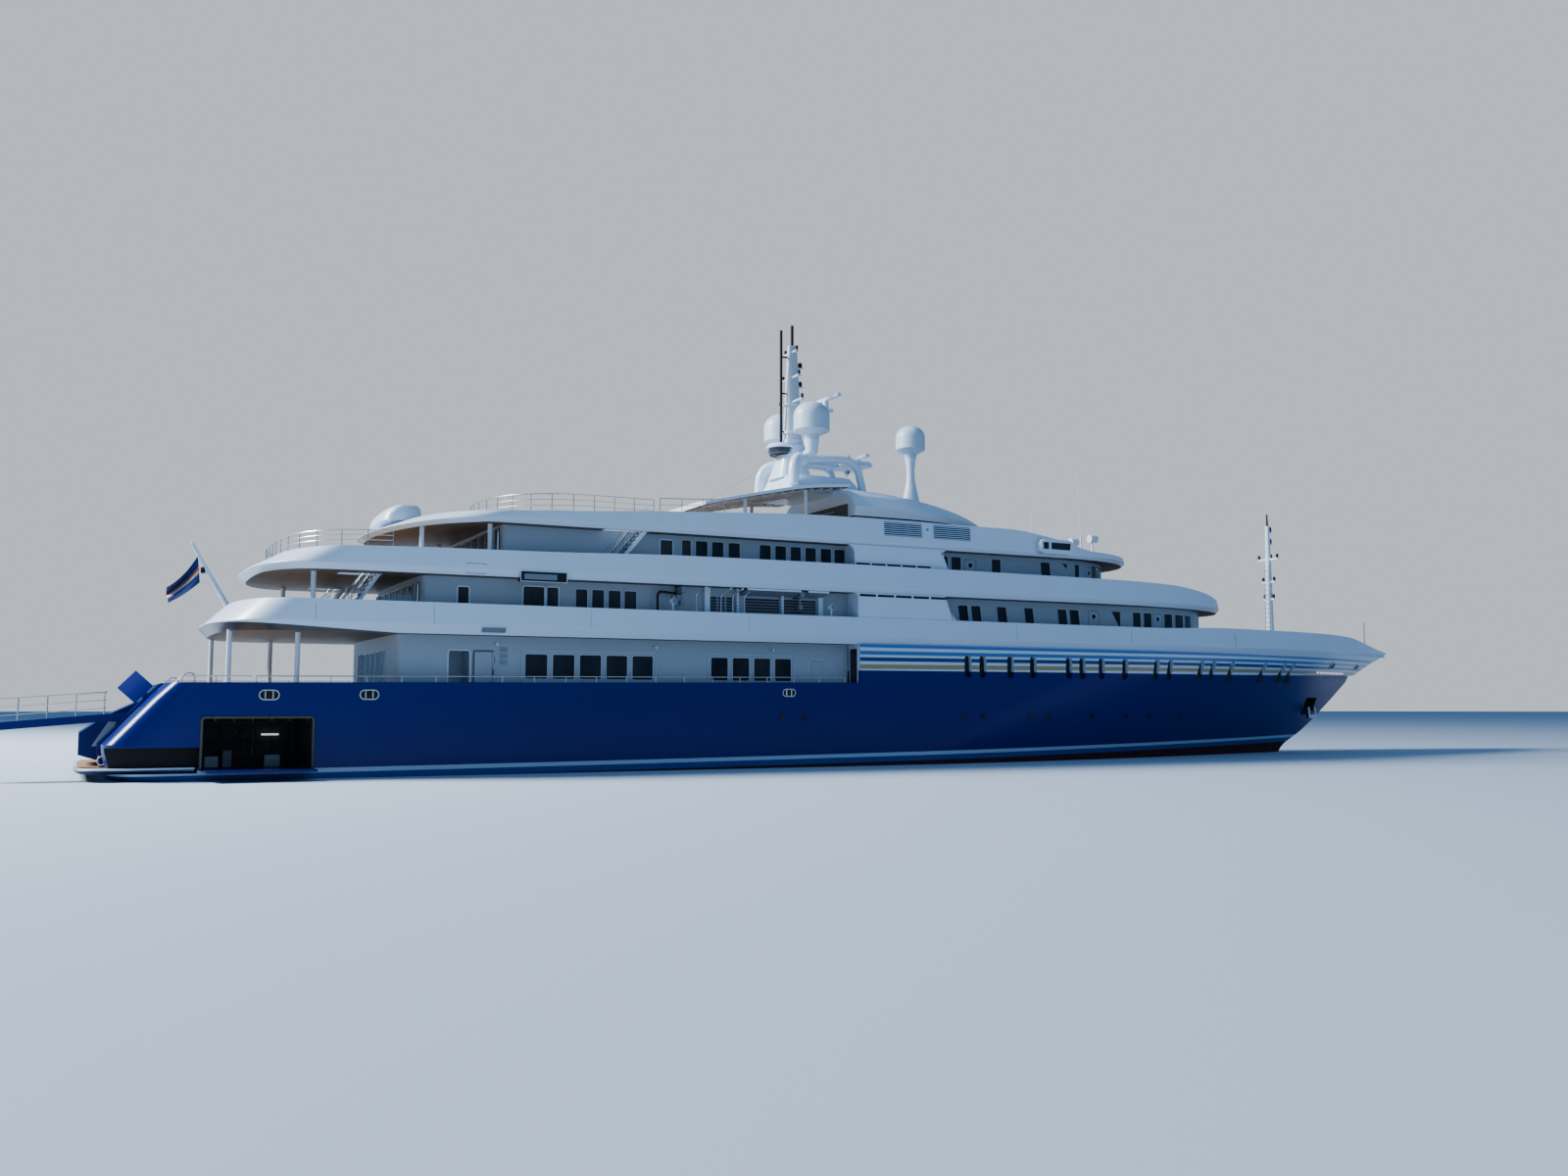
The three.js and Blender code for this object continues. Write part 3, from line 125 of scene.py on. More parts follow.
class YachtStage(bpy.types.PropertyGroup):
    """The floor, the light and the camera, in metres of the model."""

    floor_radius: extent("Floor", "Radius of the floor", 120.0, 10.0)
    floor_colour: tint("Floor colour", "Colour of the floor", (0.42, 0.51, 0.62))
    key_power: FloatProperty(
        name="Key light", description="Watts of the key light", default=10500.0, min=0.0)
    camera_place: FloatVectorProperty(
        name="Camera", description="Where the photograph was taken from", subtype="XYZ", unit="LENGTH",
        default=(-4.627, -7.317, 0.328))
    camera_turn: FloatVectorProperty(
        name="Camera turn", description="Direction of the photograph", subtype="EULER", unit="ROTATION",
        default=(math.radians(95.04), 0.0, math.radians(-27.52)))
    lens: FloatProperty(name="Lens", description="Focal length for a 36 mm sensor", default=31.1, min=10.0)


# Lines and plans

def straight(rows):
    """Reads a table of [place, value] rows, straight between the rows."""
    places, values = np.array(rows, float).T
    return lambda x: np.interp(x, places, values)


def flowing(rows):
    """Reads a table of [place, value] rows along a curve without corners.

    Each stretch is a cubic whose slopes at its two rows are the harmonic mean of the straight slopes on
    either side of the row, or level where these differ in sign, so that the curve never overshoots.
    """
    places, values = np.array(rows, float).T
    steps = np.diff(places)
    rises = np.diff(values) / steps
    product = rises[:-1] * rises[1:]
    total = np.where(product > 0, rises[:-1] + rises[1:], 1.0)
    slopes = np.concatenate([rises[:1], np.where(product > 0, 2 * product / total, 0.0), rises[-1:]])

    def at(x):
        x = np.clip(x, places[0], places[-1])
        i = np.clip(np.searchsorted(places, x) - 1, 0, len(steps) - 1)
        t = (x - places[i]) / steps[i]
        start = (1 + 2 * t) * (1 - t) ** 2 * values[i] + t * (1 - t) ** 2 * steps[i] * slopes[i]
        end = t ** 2 * (3 - 2 * t) * values[i + 1] + t ** 2 * (t - 1) * steps[i] * slopes[i + 1]
        return start + end

    return at


def round_end(share, power):
    return (1 - (1 - share) ** power) ** (1 / power)


def fine_end(share, power):
    return 1 - (1 - share) ** power


@dataclass(frozen=True)
class Plan:
    """The edge of a deck, a house or a waterline seen from above. It narrows over a run at each end.

    A round end's breadth is half * (1 - (1 - s)^power)^(1 / power) at the share s of its run; a fine one
    comes to a stem as half * (1 - (1 - s)^power).
    """

    aft: float
    fore: float
    half: float
    aft_run: float
    aft_power: float
    fore_run: float
    fore_power: float
    fine: bool = False

    def inset(self, by):
        """The same edge drawn in by some distance all round."""
        fore = self.fore - by * (2 if self.fine else 1)
        return replace(self, aft=self.aft + by, fore=fore, half=self.half - by)

    def side(self, aft_steps=26, middle_steps=30, fore_steps=44):
        """The edge as arrays of x and of the breadth from aft to fore, crowded where it turns."""
        aft_share = np.linspace(0, 1, aft_steps) ** 3
        fore_share = np.linspace(1, 0, fore_steps) ** 2
        middle = np.linspace(self.aft + self.aft_run, self.fore - self.fore_run, middle_steps)[1:-1]
        aft_end = round_end(aft_share, self.aft_power)
        fore_end = (fine_end if self.fine else round_end)(fore_share, self.fore_power)
        x = [self.aft + aft_share * self.aft_run, middle, self.fore - fore_share * self.fore_run]
        return np.concatenate(x), self.half * np.concatenate([aft_end, np.ones(len(middle)), fore_end])

    def breadth(self, x):
        """The breadth at x, from the same two formulas."""
        aft = round_end(np.clip((x - self.aft) / self.aft_run, 0, 1), self.aft_power)
        share = np.clip((self.fore - x) / self.fore_run, 0, 1)
        fore = (fine_end if self.fine else round_end)(share, self.fore_power)
        return self.half * np.minimum(aft, fore)


def ring(plan, height):
    """A plan's edge at a height as one loop: aft centre, starboard, fore centre, port."""
    x, y = plan.side()
    z = height(x) if callable(height) else np.full_like(x, height)
    starboard = np.stack([x, -y, z], 1)
    return np.concatenate([starboard, starboard[-2:0:-1] * [1, -1, 1]])


# Meshes

def grid_faces(rows, columns, round_columns=False, round_rows=False):
    """Quads between the points of a grid that is stored row by row, closed on itself either way if asked."""
    row = np.arange(rows if round_rows else rows - 1)[:, None]
    column = np.arange(columns if round_columns else columns - 1)[None, :]
    next_row, next_column = (row + 1) % rows * columns, (column + 1) % columns
    row = row * columns
    corners = [row + column, row + next_column, next_row + next_column, next_row + column]
    return np.stack(corners, -1).reshape(-1, 4)


class Shape:
    """Points and faces of a piece, gathered from several surfaces. A face keeps the number of its finish."""

    def __init__(self):
        self.points, self.faces, self.finishes, self.count = [], [], [], 0

    def add(self, points, faces, finish=0):
        points = np.asarray(points, float).reshape(-1, 3)
        faces = [np.asarray(face) + self.count for face in faces]
        self.points.append(points)
        self.faces += faces
        self.finishes += list(finish) if hasattr(finish, "__len__") else [finish] * len(faces)
        self.count += len(points)
        return self

    def join(self, *others):
        for other in others:
            self.add(np.concatenate(other.points), other.faces, other.finishes)
        return self

    def mirrored(self):
        """Adds the same on the other side, with its faces turned so that they still point out."""
        points = np.concatenate(self.points) * [1, -1, 1]
        return self.add(points, [face[::-1] for face in self.faces], list(self.finishes))

    def mesh(self, name, finishes, sharp):
        made = bpy.data.meshes.new(name)
        points = np.concatenate(self.points) * MODEL
        made.from_pydata(points.tolist(), [], [face.tolist() for face in self.faces])
        for finish in finishes:
            made.materials.append(finish)
        made.polygons.foreach_set("material_index", np.array(self.finishes, np.int32))
        smooth(made, sharp)
        return made


def smooth(mesh, sharp):
    """Shades a mesh smooth, apart from edges that turn by more than the angle in degrees."""
    mesh.shade_smooth()
    mesh.set_sharp_from_angle(angle=math.radians(sharp))


def piece(name, shape, finishes, body="ship", slot=None, stands_for=(), sharp=32, bevel=0.0):
    """Makes a shape into an object that rides on a body."""
    made = bpy.data.objects.new(name, shape.mesh(name, finishes, sharp))
    bpy.context.scene.collection.objects.link(made)
    if bevel:
        edge = made.modifiers.new("edges", "BEVEL")
        edge.width, edge.segments, edge.limit_method = bevel * MODEL, 2, "ANGLE"
        edge.angle_limit = math.radians(40)
        edge.harden_normals = True
    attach(made, body)
    if stands_for:
        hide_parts(*stands_for)
    return made


def faired(mesh, exact):
    """Gives a mesh the exact normals of the surface that it was cut from, where its faces lie along it."""
    def read(items, field, size, kind=float):
        values = np.empty(len(items) * size, kind)
        items.foreach_get(field, values)
        return values.reshape(-1, size) if size > 1 else values

    corners = read(mesh.loops, "vertex_index", 1, np.int32)
    turns = read(mesh.polygons, "loop_total", 1, np.int32)
    flat = np.repeat(read(mesh.polygons, "normal", 3), turns, axis=0)
    wanted = exact(read(mesh.vertices, "co", 3)[corners] / MODEL)
    along = np.sum(flat * wanted, axis=1) > 0.95
    shaded = read(mesh.corner_normals, "vector", 3)
    mesh.normals_split_custom_set(np.where(along[:, None], wanted, shaded).tolist())


def carve(body, tools, operation="DIFFERENCE", sharp=32, exact=None):
    """Cuts shapes out of an object's mesh, or joins them to it, and keeps the result as its mesh."""
    objects = []
    for number, tool in enumerate(tools):
        cutter = bpy.data.objects.new(f"tool_{number}", tool.mesh("tool", [], sharp))
        bpy.context.scene.collection.objects.link(cutter)
        step = body.modifiers.new("carve", "BOOLEAN")
        step.object, step.operation, step.solver = cutter, operation, "MANIFOLD"
        objects.append(cutter)
    bpy.context.view_layer.update()
    seen = body.evaluated_get(bpy.context.evaluated_depsgraph_get())
    made = bpy.data.meshes.new_from_object(seen)
    body.modifiers.clear()
    body.data = made
    for cutter in objects:
        bpy.data.objects.remove(cutter)
    smooth(made, sharp)
    if exact:
        faired(made, exact)
    return body


def loft(loops, finish=0, caps=(0, 0)):
    """A closed body through loops of equal length: quads between them and a flat face over each end."""
    loops = np.asarray(loops, float)
    rows, count = loops.shape[:2]
    loop = np.arange(count)
    faces = [*grid_faces(rows, count, round_columns=True), loop[::-1], loop + (rows - 1) * count]
    sides = finish if hasattr(finish, "__len__") else [finish] * (len(faces) - 2)
    return Shape().add(loops, faces, [*sides, *caps])


def pillar(rows, power=4, steps=24, finish=0):
    """An upright body through rows of (height, aft, fore, half): each section is the superellipse
    |x|^power + |y|^power = 1, stretched to the row's length and breadth."""
    angle = np.linspace(0, 2 * np.pi, steps, endpoint=False)
    u, v = (np.sign(wave) * np.abs(wave) ** (2 / power) for wave in (np.cos(angle), np.sin(angle)))
    loops = [
        np.stack([(aft + fore) / 2 + u * (fore - aft) / 2, v * half, np.full(steps, z)], 1)
        for z, aft, fore, half in rows]
    return loft(loops, finish, (finish, finish))


def bent(points, turn=0.5, steps=7):
    """A path through points whose corners are rounded: a quadratic curve that starts and ends a distance,
    turn, before and after each corner."""
    points = np.asarray(points, float)
    path = [points[:1]]
    share = np.linspace(0, 1, steps)[:, None]
    for before, corner, after in zip(points, points[1:], points[2:]):
        start = corner + (before - corner) * min(0.5, turn / np.linalg.norm(before - corner))
        end = corner + (after - corner) * min(0.5, turn / np.linalg.norm(after - corner))
        path.append(start * (1 - share) ** 2 + corner * 2 * share * (1 - share) + end * share ** 2)
    return np.concatenate([*path, points[-1:]])


def skin(rings, finishes=None, caps=(0, 0)):
    """A closed body through rings: quads between them, and strips from side to side over both ends."""
    count = len(rings[0])
    quads = grid_faces(len(rings), count, round_columns=True)
    number = np.repeat(finishes if finishes else [0] * (len(rings) - 1), count)
    strip = np.arange(1, count // 2 - 1)
    cap = [np.array([0, 1, count - 1]), np.array([count // 2 - 1, count // 2, count // 2 + 1])]
    cap += list(np.stack([strip, strip + 1, count - strip - 1, count - strip], 1))
    last = (len(rings) - 1) * count
    shape = Shape().add(np.concatenate(rings), quads, number)
    shape.faces += [face[::-1] for face in cap] + [face + last for face in cap]
    shape.finishes += [caps[0]] * len(cap) + [caps[1]] * len(cap)
    return shape


def boxes(lows, highs, finish=0):
    """Upright boxes from their lowest and highest corners."""
    lows, highs = np.atleast_2d(lows), np.atleast_2d(highs)
    pick = np.array([[0, 0, 0], [1, 0, 0], [1, 1, 0], [0, 1, 0], [0, 0, 1], [1, 0, 1], [1, 1, 1], [0, 1, 1]])
    points = lows[:, None] + pick * (highs - lows)[:, None]
    sides = np.array([[3, 2, 1, 0], [4, 5, 6, 7], [0, 1, 5, 4], [1, 2, 6, 5], [2, 3, 7, 6], [3, 0, 4, 7]])
    faces = (np.arange(len(lows))[:, None, None] * 8 + sides).reshape(-1, 4)
    return Shape().add(points, faces, finish)


def prism(outline, axis, start, end, finish=0):
    """A flat outline carried straight along an axis. Its points are the two other coordinates in order."""
    outline = np.asarray(outline, float)
    count = len(outline)
    points = np.concatenate([np.insert(outline, axis, at, axis=1) for at in (start, end)])
    area = np.sum(outline[:, 0] * np.roll(outline[:, 1], -1) - outline[:, 1] * np.roll(outline[:, 0], -1))
    faces = [*grid_faces(2, count, round_columns=True), np.arange(count)[::-1], np.arange(count) + count]
    turned = (area < 0) != (axis == 1) != (end < start)
    return Shape().add(points, [face[::-1] for face in faces] if turned else faces, finish)


def circles(run, reference, sides):
    """A unit circle square to each direction of a run: cos(angle) * across + sin(angle) * other.

    Across is square to the direction and the reference, and other to the direction and across.
    """
    across = np.cross(run, reference)
    across /= np.linalg.norm(across, axis=1, keepdims=True)
    angle = np.linspace(0, 2 * np.pi, sides, endpoint=False)[None, :, None]
    return np.cos(angle) * across[:, None] + np.sin(angle) * np.cross(run, across)[:, None]


def rods(starts, ends, radius, end_radius=None, sides=6, finish=0):
    """Straight round bars: a circle square to each bar's run, drawn at both its ends and closed there."""
    starts, ends = np.atleast_2d(starts).astype(float), np.atleast_2d(ends).astype(float)
    run = ends - starts
    run /= np.linalg.norm(run, axis=1, keepdims=True)
    upright = np.abs(run[:, 2:]) > 0.9
    circle = circles(run, np.where(upright, [1.0, 0, 0], [0, 0, 1.0]), sides)
    end_radius = radius if end_radius is None else end_radius
    points = np.stack([starts[:, None] + circle * radius, ends[:, None] + circle * end_radius], 1)
    quads = grid_faces(2, sides, round_columns=True)
    loop = np.arange(sides)
    faces = []
    for number in range(len(starts)):
        faces += [face + number * 2 * sides for face in (*quads, loop[::-1], loop + sides)]
    return Shape().add(points, faces, finish)


def tube(path, radius, sides=8, closed=False, finish=0):
    """A circle carried along a path and square to it; radius may be one number or one for each point."""
    path = np.asarray(path, float)
    run = np.roll(path, -1, 0) - np.roll(path, 1, 0) if closed else np.gradient(path, axis=0)
    run /= np.linalg.norm(run, axis=1, keepdims=True)
    circle = circles(run, np.eye(3)[np.argmin(np.abs(run).max(0))], sides)
    radii = np.broadcast_to(np.asarray(radius, float), (len(path),))[:, None, None]
    faces = list(grid_faces(len(path), sides, round_columns=True, round_rows=closed))
    loop = np.arange(sides)
    if not closed:
        faces += [loop[::-1], loop + (len(path) - 1) * sides]
    return Shape().add(path[:, None] + circle * radii, faces, finish)


def lathe(profile, place, steps=32, axis=2, finish=0):
    """A profile of (radius, height) rows turned round an axis through a place, closed at its two ends."""
    profile = np.asarray(profile, float)
    angle = np.linspace(0, 2 * np.pi, steps, endpoint=False)
    flat = np.stack([np.cos(angle), np.sin(angle), np.zeros(steps)], 1)
    points = flat[None] * profile[:, 0][:, None, None]
    points[:, :, 2] = profile[:, 1][:, None]
    points = np.roll(points, axis + 1, axis=2) + np.asarray(place, float)
    last = (len(profile) - 1) * steps
    loop = np.arange(steps)
    faces = [*grid_faces(len(profile), steps, round_columns=True), loop[::-1], loop + last]
    return Shape().add(points, faces, finish)


def dome_profile(radius, foot, straight_up, neck):
    """Profile of a radome: a narrow foot, a cone out to the skirt, a straight side, and a dome over it."""
    angle = np.linspace(0, np.pi / 2, 12)[:-1]
    shoulder = foot + straight_up
    dome = np.stack([radius * np.cos(angle), shoulder + 0.82 * radius * np.sin(angle)], 1)
    low = [[neck, 0], [neck * 1.2, 0.28], [radius * 0.93, foot - 0.12], [radius * 1.0, foot - 0.06]]
    lip = [[radius * 1.015, foot - 0.04], [radius * 1.015, foot + 0.02], [radius, foot + 0.03]]
    return np.concatenate([low, lip, dome, [[radius * 0.05, shoulder + 0.82 * radius]]])


def shell(front, back, finish=0):
    """A closed plate between two grids of the same size: its face, its back and its rim."""
    rows, columns = front.shape[:2]
    count = rows * columns
    index = np.arange(count).reshape(rows, columns)
    border = np.concatenate([index[0], index[1:, -1], index[-1, -2::-1], index[-2:0:-1, 0]])
    after = np.roll(border, -1)
    quads = grid_faces(rows, columns)
    rim = np.stack([after, border, border + count, after + count], 1)
    points = np.concatenate([front.reshape(-1, 3), back.reshape(-1, 3)])
    return Shape().add(points, [*quads, *(quads[:, ::-1] + count), *rim], finish)


# Walls that carry windows and doors

class Wall:
    """An upright wall over a plan, unrolled: u is the distance round it from the nose, aft to starboard
    below 0 and aft to port above 0."""

    def __init__(self, plan):
        x, y = plan.side(120, 200, 160)
        x, y = x[::-1], y[::-1]
        self.run = np.concatenate([[0], np.cumsum(np.hypot(np.diff(x), np.diff(y)))])
        self.x, self.y = x, y
        slope_x, slope_y = np.gradient(x, self.run), np.gradient(y, self.run)
        length = np.hypot(slope_x, slope_y)
        self.normal_x, self.normal_y = slope_y / length, -slope_x / length

    def at(self, x):
        """The distance at which the starboard wall passes x."""
        return -np.interp(-np.asarray(x, float), -self.x, self.run)

    def place(self, u, z, off):
        """Points on the wall, or off it by a distance outwards."""
        run, side = np.abs(u), np.where(np.asarray(u) > 0, 1.0, -1.0)
        read = lambda values: np.interp(run, self.run, values)
        x = read(self.x) + read(self.normal_x) * off
        return spread(x, side * (read(self.y) + read(self.normal_y) * off), z)


def spread(x, y, z):
    """Points from coordinates of which any may be an array or one number."""
    return np.stack(np.broadcast_arrays(x, y, z), -1)


def flat_wall(side_y):
    """The placing function of a flat wall to starboard: u is x."""
    return lambda u, z, off: spread(u, -side_y - off, z)


def facing_aft(wall_x):
    """The placing function of a flat wall that faces aft: u is the distance to starboard."""
    return lambda u, z, off: spread(wall_x - off, -np.asarray(u), z)


def round_columns(span, heights, radius, corner_steps=5, middle_steps=5):
    """A rectangle with round corners as columns: their places and the heights of their two ends."""
    turn = np.linspace(0, np.pi / 2, corner_steps + 1)
    out, up = radius * (1 - np.cos(turn)), radius * (1 - np.sin(turn))
    middle = np.linspace(span[0] + radius, span[1] - radius, middle_steps)[1:-1]
    u = np.concatenate([span[0] + out, middle, (span[1] - out)[::-1]])
    rise = np.concatenate([up, np.zeros(len(middle)), up[::-1]])
    return u, heights[0] + rise, heights[1] - rise


def pane(place, span, heights, radius, front, back=-0.02, lean=0.0, finish=0):
    """A plate with round corners laid on a wall: a grid between its lower and upper edge, at two depths.
    lean shears it, as a share of the height."""
    u, low, high = round_columns(span, heights, radius)
    z = low + (high - low) * np.linspace(0, 1, 3)[:, None]
    across = u + lean * (z - sum(heights) / 2)
    return shell(place(across, z, front), place(across, z, back), finish)


def surround(place, span, heights, radius, width, stand, lean=0.0, finish=0, back=-0.01):
    """A frame with round corners: a square section carried round the outline of a pane."""
    rings = []
    for grow, off in ((width, back), (width, stand), (0, stand), (0, back)):
        u, low, high = round_columns(
            (span[0] - grow, span[1] + grow), (heights[0] - grow, heights[1] + grow), radius + grow)
        across, z = np.concatenate([u, u[::-1]]), np.concatenate([low, high[::-1]])
        rings.append(place(across + lean * (z - sum(heights) / 2), z, off))
    faces = grid_faces(4, len(rings[0]), round_columns=True, round_rows=True)
    return Shape().add(np.concatenate(rings), faces, finish)


# Finishes

class Value:
    """A socket that takes part in arithmetic. Each sum or product adds a Math node."""

    def __init__(self, finish, socket):
        self.finish, self.socket = finish, socket

    def math(self, operation, *others, clamp=False):
        settings = {"operation": operation, "use_clamp": clamp}
        return self.finish.node("ShaderNodeMath", settings, [self, *others])

    def __add__(self, other):
        return self.math("ADD", other)

    def __sub__(self, other):
        return self.math("SUBTRACT", other)

    def __rsub__(self, other):
        return self.math("MULTIPLY_ADD", -1, other)

    def __mul__(self, other):
        return self.math("MULTIPLY", other)

    def __truediv__(self, other):
        return self.math("DIVIDE", other)

    __radd__ = __add__
    __rmul__ = __mul__

    def above(self, limit, soft=0.01):
        """1 over the limit and 0 below it, with a step as wide as soft."""
        return ((self - limit) * (1 / soft)).math("ADD", 0.5, clamp=True)

    def between(self, low, high, soft=0.01):
        return self.above(low, soft) * (1 - self.above(high, soft))

    def seam(self, pitch, width):
        """1 on lines that come once in every pitch, as wide as width."""
        inside = (self * (1 / pitch)).math("FRACT")
        edge = (inside - 0.5).math("ABSOLUTE")
        return edge.above(0.5 - width / pitch / 2, 0.3 * width / pitch)


class Finish:
    """A material's nodes, written as expressions."""

    def __init__(self, name):
        self.material = bpy.data.materials.new(name)
        self.material.use_nodes = True
        self.tree = self.material.node_tree
        self.tree.nodes.clear()

    def node(self, kind, settings=None, inputs=(), output=0):
        """Adds a node: first its settings, then the values or links of its sockets, by number or by name."""
        made = self.tree.nodes.new(kind)
        for name, value in (settings or {}).items():
            setattr(made, name, value)
        for key, value in inputs.items() if isinstance(inputs, dict) else enumerate(inputs):
            if isinstance(value, Value):
                self.tree.links.new(value.socket, made.inputs[key])
            else:
                made.inputs[key].default_value = value
        return Value(self, made.outputs[output])

    def ship(self):
        """The place on the ship as a vector, in its own metres."""
        place = self.node("ShaderNodeTexCoord", output="Object")
        return self.node("ShaderNodeVectorMath", {"operation": "SCALE"}, {0: place, "Scale": 1 / MODEL})

    def axes(self, vector):
        split = self.node("ShaderNodeSeparateXYZ", None, [vector])
        return [Value(self, split.socket.node.outputs[i]) for i in range(3)]

    def stretched(self, vector, scale):
        return self.node("ShaderNodeVectorMath", {"operation": "MULTIPLY"}, [vector, scale])

    def noise(self, vector, scale, detail=3.0, rough=0.5):
        inputs = {"Vector": vector, "Scale": scale, "Detail": detail, "Roughness": rough}
        return self.node("ShaderNodeTexNoise", None, inputs)

    def mix(self, share, low, high):
        """Blends two colours, each a link or a fixed colour."""
        colours = [value if isinstance(value, Value) else (*value[:3], 1.0) for value in (low, high)]
        return self.node("ShaderNodeMix", {"data_type": "RGBA"}, {0: share, 6: colours[0], 7: colours[1]}, 2)

    def bump(self, height, depth, strength=1.0):
        """A normal from a height, where 1 stands for depth metres of the ship."""
        inputs = {"Height": height, "Distance": depth * MODEL, "Strength": strength}
        return self.node("ShaderNodeBump", None, inputs)

    def coat(self, **sockets):
        """Ends the tree in one Principled surface. Words stand for its sockets, with _ for a blank."""
        inputs = {
            name.replace("_", " ").title().replace("Ior", "IOR"): value for name, value in sockets.items()}
        for name in ("Base Color", "Emission Color", "Coat Tint"):
            if name in inputs and not isinstance(inputs[name], Value):
                inputs[name] = (*inputs[name][:3], 1.0)
        surface = self.node("ShaderNodeBsdfPrincipled", None, inputs)
        self.node_output(surface)
        return self.material

    def node_output(self, surface):
        out = self.tree.nodes.new("ShaderNodeOutputMaterial")
        self.tree.links.new(surface.socket, out.inputs["Surface"])


def paint():
    return bpy.context.scene.yacht_paint


def fit():
    return bpy.context.scene.yacht_fit


BOOT_TOP = {"amidships": 0.784, "rise": 0.01117, "bend": 0.000081, "stripe": 0.2, "band": 0.5}


@cache
def hull_paint():
    """Gloss blue over a boot stripe, a lighter band and the bottom paint, whose edges rise to the bow."""
    finish, colours = Finish("hull_paint"), paint()
    ship = finish.ship()
    x, y, z = finish.axes(ship)
    level = z - (BOOT_TOP["amidships"] + x * BOOT_TOP["rise"] + x * x * BOOT_TOP["bend"])
    patches = finish.noise(ship, 0.12, 2.0)
    blue = finish.mix(patches * 0.5, colours.hull, [c * 1.25 for c in colours.hull])
    scuff = finish.noise(finish.stretched(ship, (0.6, 0.6, 6.0)), 1.3, 4.0)
    band = finish.mix(scuff * 0.5, colours.water_band, [c * 1.6 for c in colours.water_band])
    bottom = finish.mix(scuff, colours.antifouling, [c * 1.8 for c in colours.antifouling])
    colour = finish.mix(level.above(-BOOT_TOP["band"]), bottom, band)
    colour = finish.mix(level.above(-BOOT_TOP["stripe"]), colour, colours.boot_stripe)
    colour = finish.mix(level.above(0.0), colour, blue)
    over = level.above(-BOOT_TOP["band"])
    roughness = 0.62 - over * 0.44 + finish.noise(ship, 2.0) * 0.04
    ripple = finish.noise(finish.stretched(ship, (0.25, 0.25, 0.5)), 1.0, 2.0)
    return finish.coat(base_color=colour, roughness=roughness, specular_ior_level=0.16,
                       normal=finish.bump(ripple, 0.03, 0.5))


STRIPES = [
    # from, to as shares of the height between the blue and the deck band, colour
    (0.068, 0.243, "stripe_gold"),
    (0.358, 0.513, "stripe_navy"),
    (0.608, 0.757, "stripe_blue"),
    (0.885, 1.2, "stripe_blue"),
]


@cache
def striped_paint():
    """White with stripes that follow the sheer, drawn as shares of the height between its two edges."""
    finish, colours = Finish("striped_paint"), paint()
    ship = finish.ship()
    x, y, z = finish.axes(ship)
    foot = 5.4 + x.math("MAXIMUM", -7.0) * 0.0066
    share = (z - foot) / (UPPER_BOTTOM - foot)
    colour = finish.mix(finish.noise(ship, 0.3), colours.white, [c * 0.93 for c in colours.white])
    for low, high, name in STRIPES:
        colour = finish.mix(share.between(low, high), colour, getattr(colours, name))
    ripple = finish.noise(ship, 0.5, 2.0)
    return finish.coat(base_color=colour, roughness=0.2 + ripple * 0.05, coat_weight=0.3,
                       coat_roughness=0.05, normal=finish.bump(ripple, 0.02, 0.4))


def painted(name, colour, roughness=0.3, shade=0.93, coat=0.2, streaks=0.05, gloss=0.5):
    """Paint with faint patches, soft run marks down the sides, and the slight waviness of faired plating."""
    finish = Finish(name)
    ship = finish.ship()
    patches = finish.noise(ship, 0.35, 3.0)
    runs = finish.noise(finish.stretched(ship, (3.0, 3.0, 0.25)), 1.0, 4.0, 0.6).above(0.62, 0.3)
    clean = finish.mix(patches, colour, [c * shade for c in colour])
    colour = finish.mix(runs * streaks, clean, [c * 0.55 for c in colour])
    ripple = finish.noise(ship, 0.6, 2.0)
    return finish.coat(base_color=colour, roughness=roughness + patches * 0.08, coat_weight=coat,
                       coat_roughness=0.08, specular_ior_level=gloss, normal=finish.bump(ripple, 0.015, 0.4))


@cache
def white_paint():
    return painted("white_paint", paint().white)


@cache
def shaded_soffit_paint():
    """Deckhead panels with fine joints: a warm off-white, darkened with painted shade to a dark tan."""
    finish, colours = Finish("shaded_soffit_panels"), paint()
    ship = finish.ship()
    x, y, z = finish.axes(ship)
    joints = x.seam(1.2, 0.03).math("MAXIMUM", y.seam(1.2, 0.03))
    patches = finish.noise(ship, 0.8)
    colour = finish.mix(patches, colours.soffit, [c * 0.86 for c in colours.soffit])
    colour = finish.mix(joints, colour, [c * 0.45 for c in colours.soffit])
    return finish.coat(base_color=colour, roughness=0.5 + patches * 0.1, specular_ior_level=0.15,
                       normal=finish.bump(1 - joints, 0.01))


@cache
def teak():
    """Planks along the ship, each of its own tone, with dark caulked seams and grain along them."""
    finish, colours = Finish("teak"), paint()
    width = fit().plank
    ship = finish.ship()
    x, y, z = finish.axes(ship)
    plank = (y * (1 / width)).math("FLOOR")
    tone = finish.node("ShaderNodeTexWhiteNoise", {"noise_dimensions": "1D"}, {"W": plank})
    butts = (x + tone * 4.0).seam(4.0, 0.02)
    seams = y.seam(width, 0.022).math("MAXIMUM", butts)
    grain = finish.noise(finish.stretched(ship, (1.2, 30.0, 1.0)), 1.0, 5.0, 0.65)
    dark, pale = ([c * share for c in colours.teak] for share in (0.72, 1.25))
    colour = finish.mix(seams, finish.mix(tone * 0.6 + grain * 0.4, dark, pale), (0.012, 0.011, 0.010))
    return finish.coat(base_color=colour, roughness=0.62 + grain * 0.15,
                       normal=finish.bump(1 - seams, 0.006))


@cache
def tinted_glass():
    """Nearly black glass; what stands behind it shows only as soft differences of tone."""
    finish = Finish("tinted_glass")
    ship = finish.ship()
    behind = finish.noise(finish.stretched(ship, (0.9, 0.9, 0.5)), 1.0, 2.0)
    colour = finish.mix(behind.above(0.5, 0.5), (0.004, 0.006, 0.009), (0.022, 0.027, 0.034))
    return finish.coat(base_color=colour, roughness=0.06 + behind * 0.03, specular_ior_level=0.22)


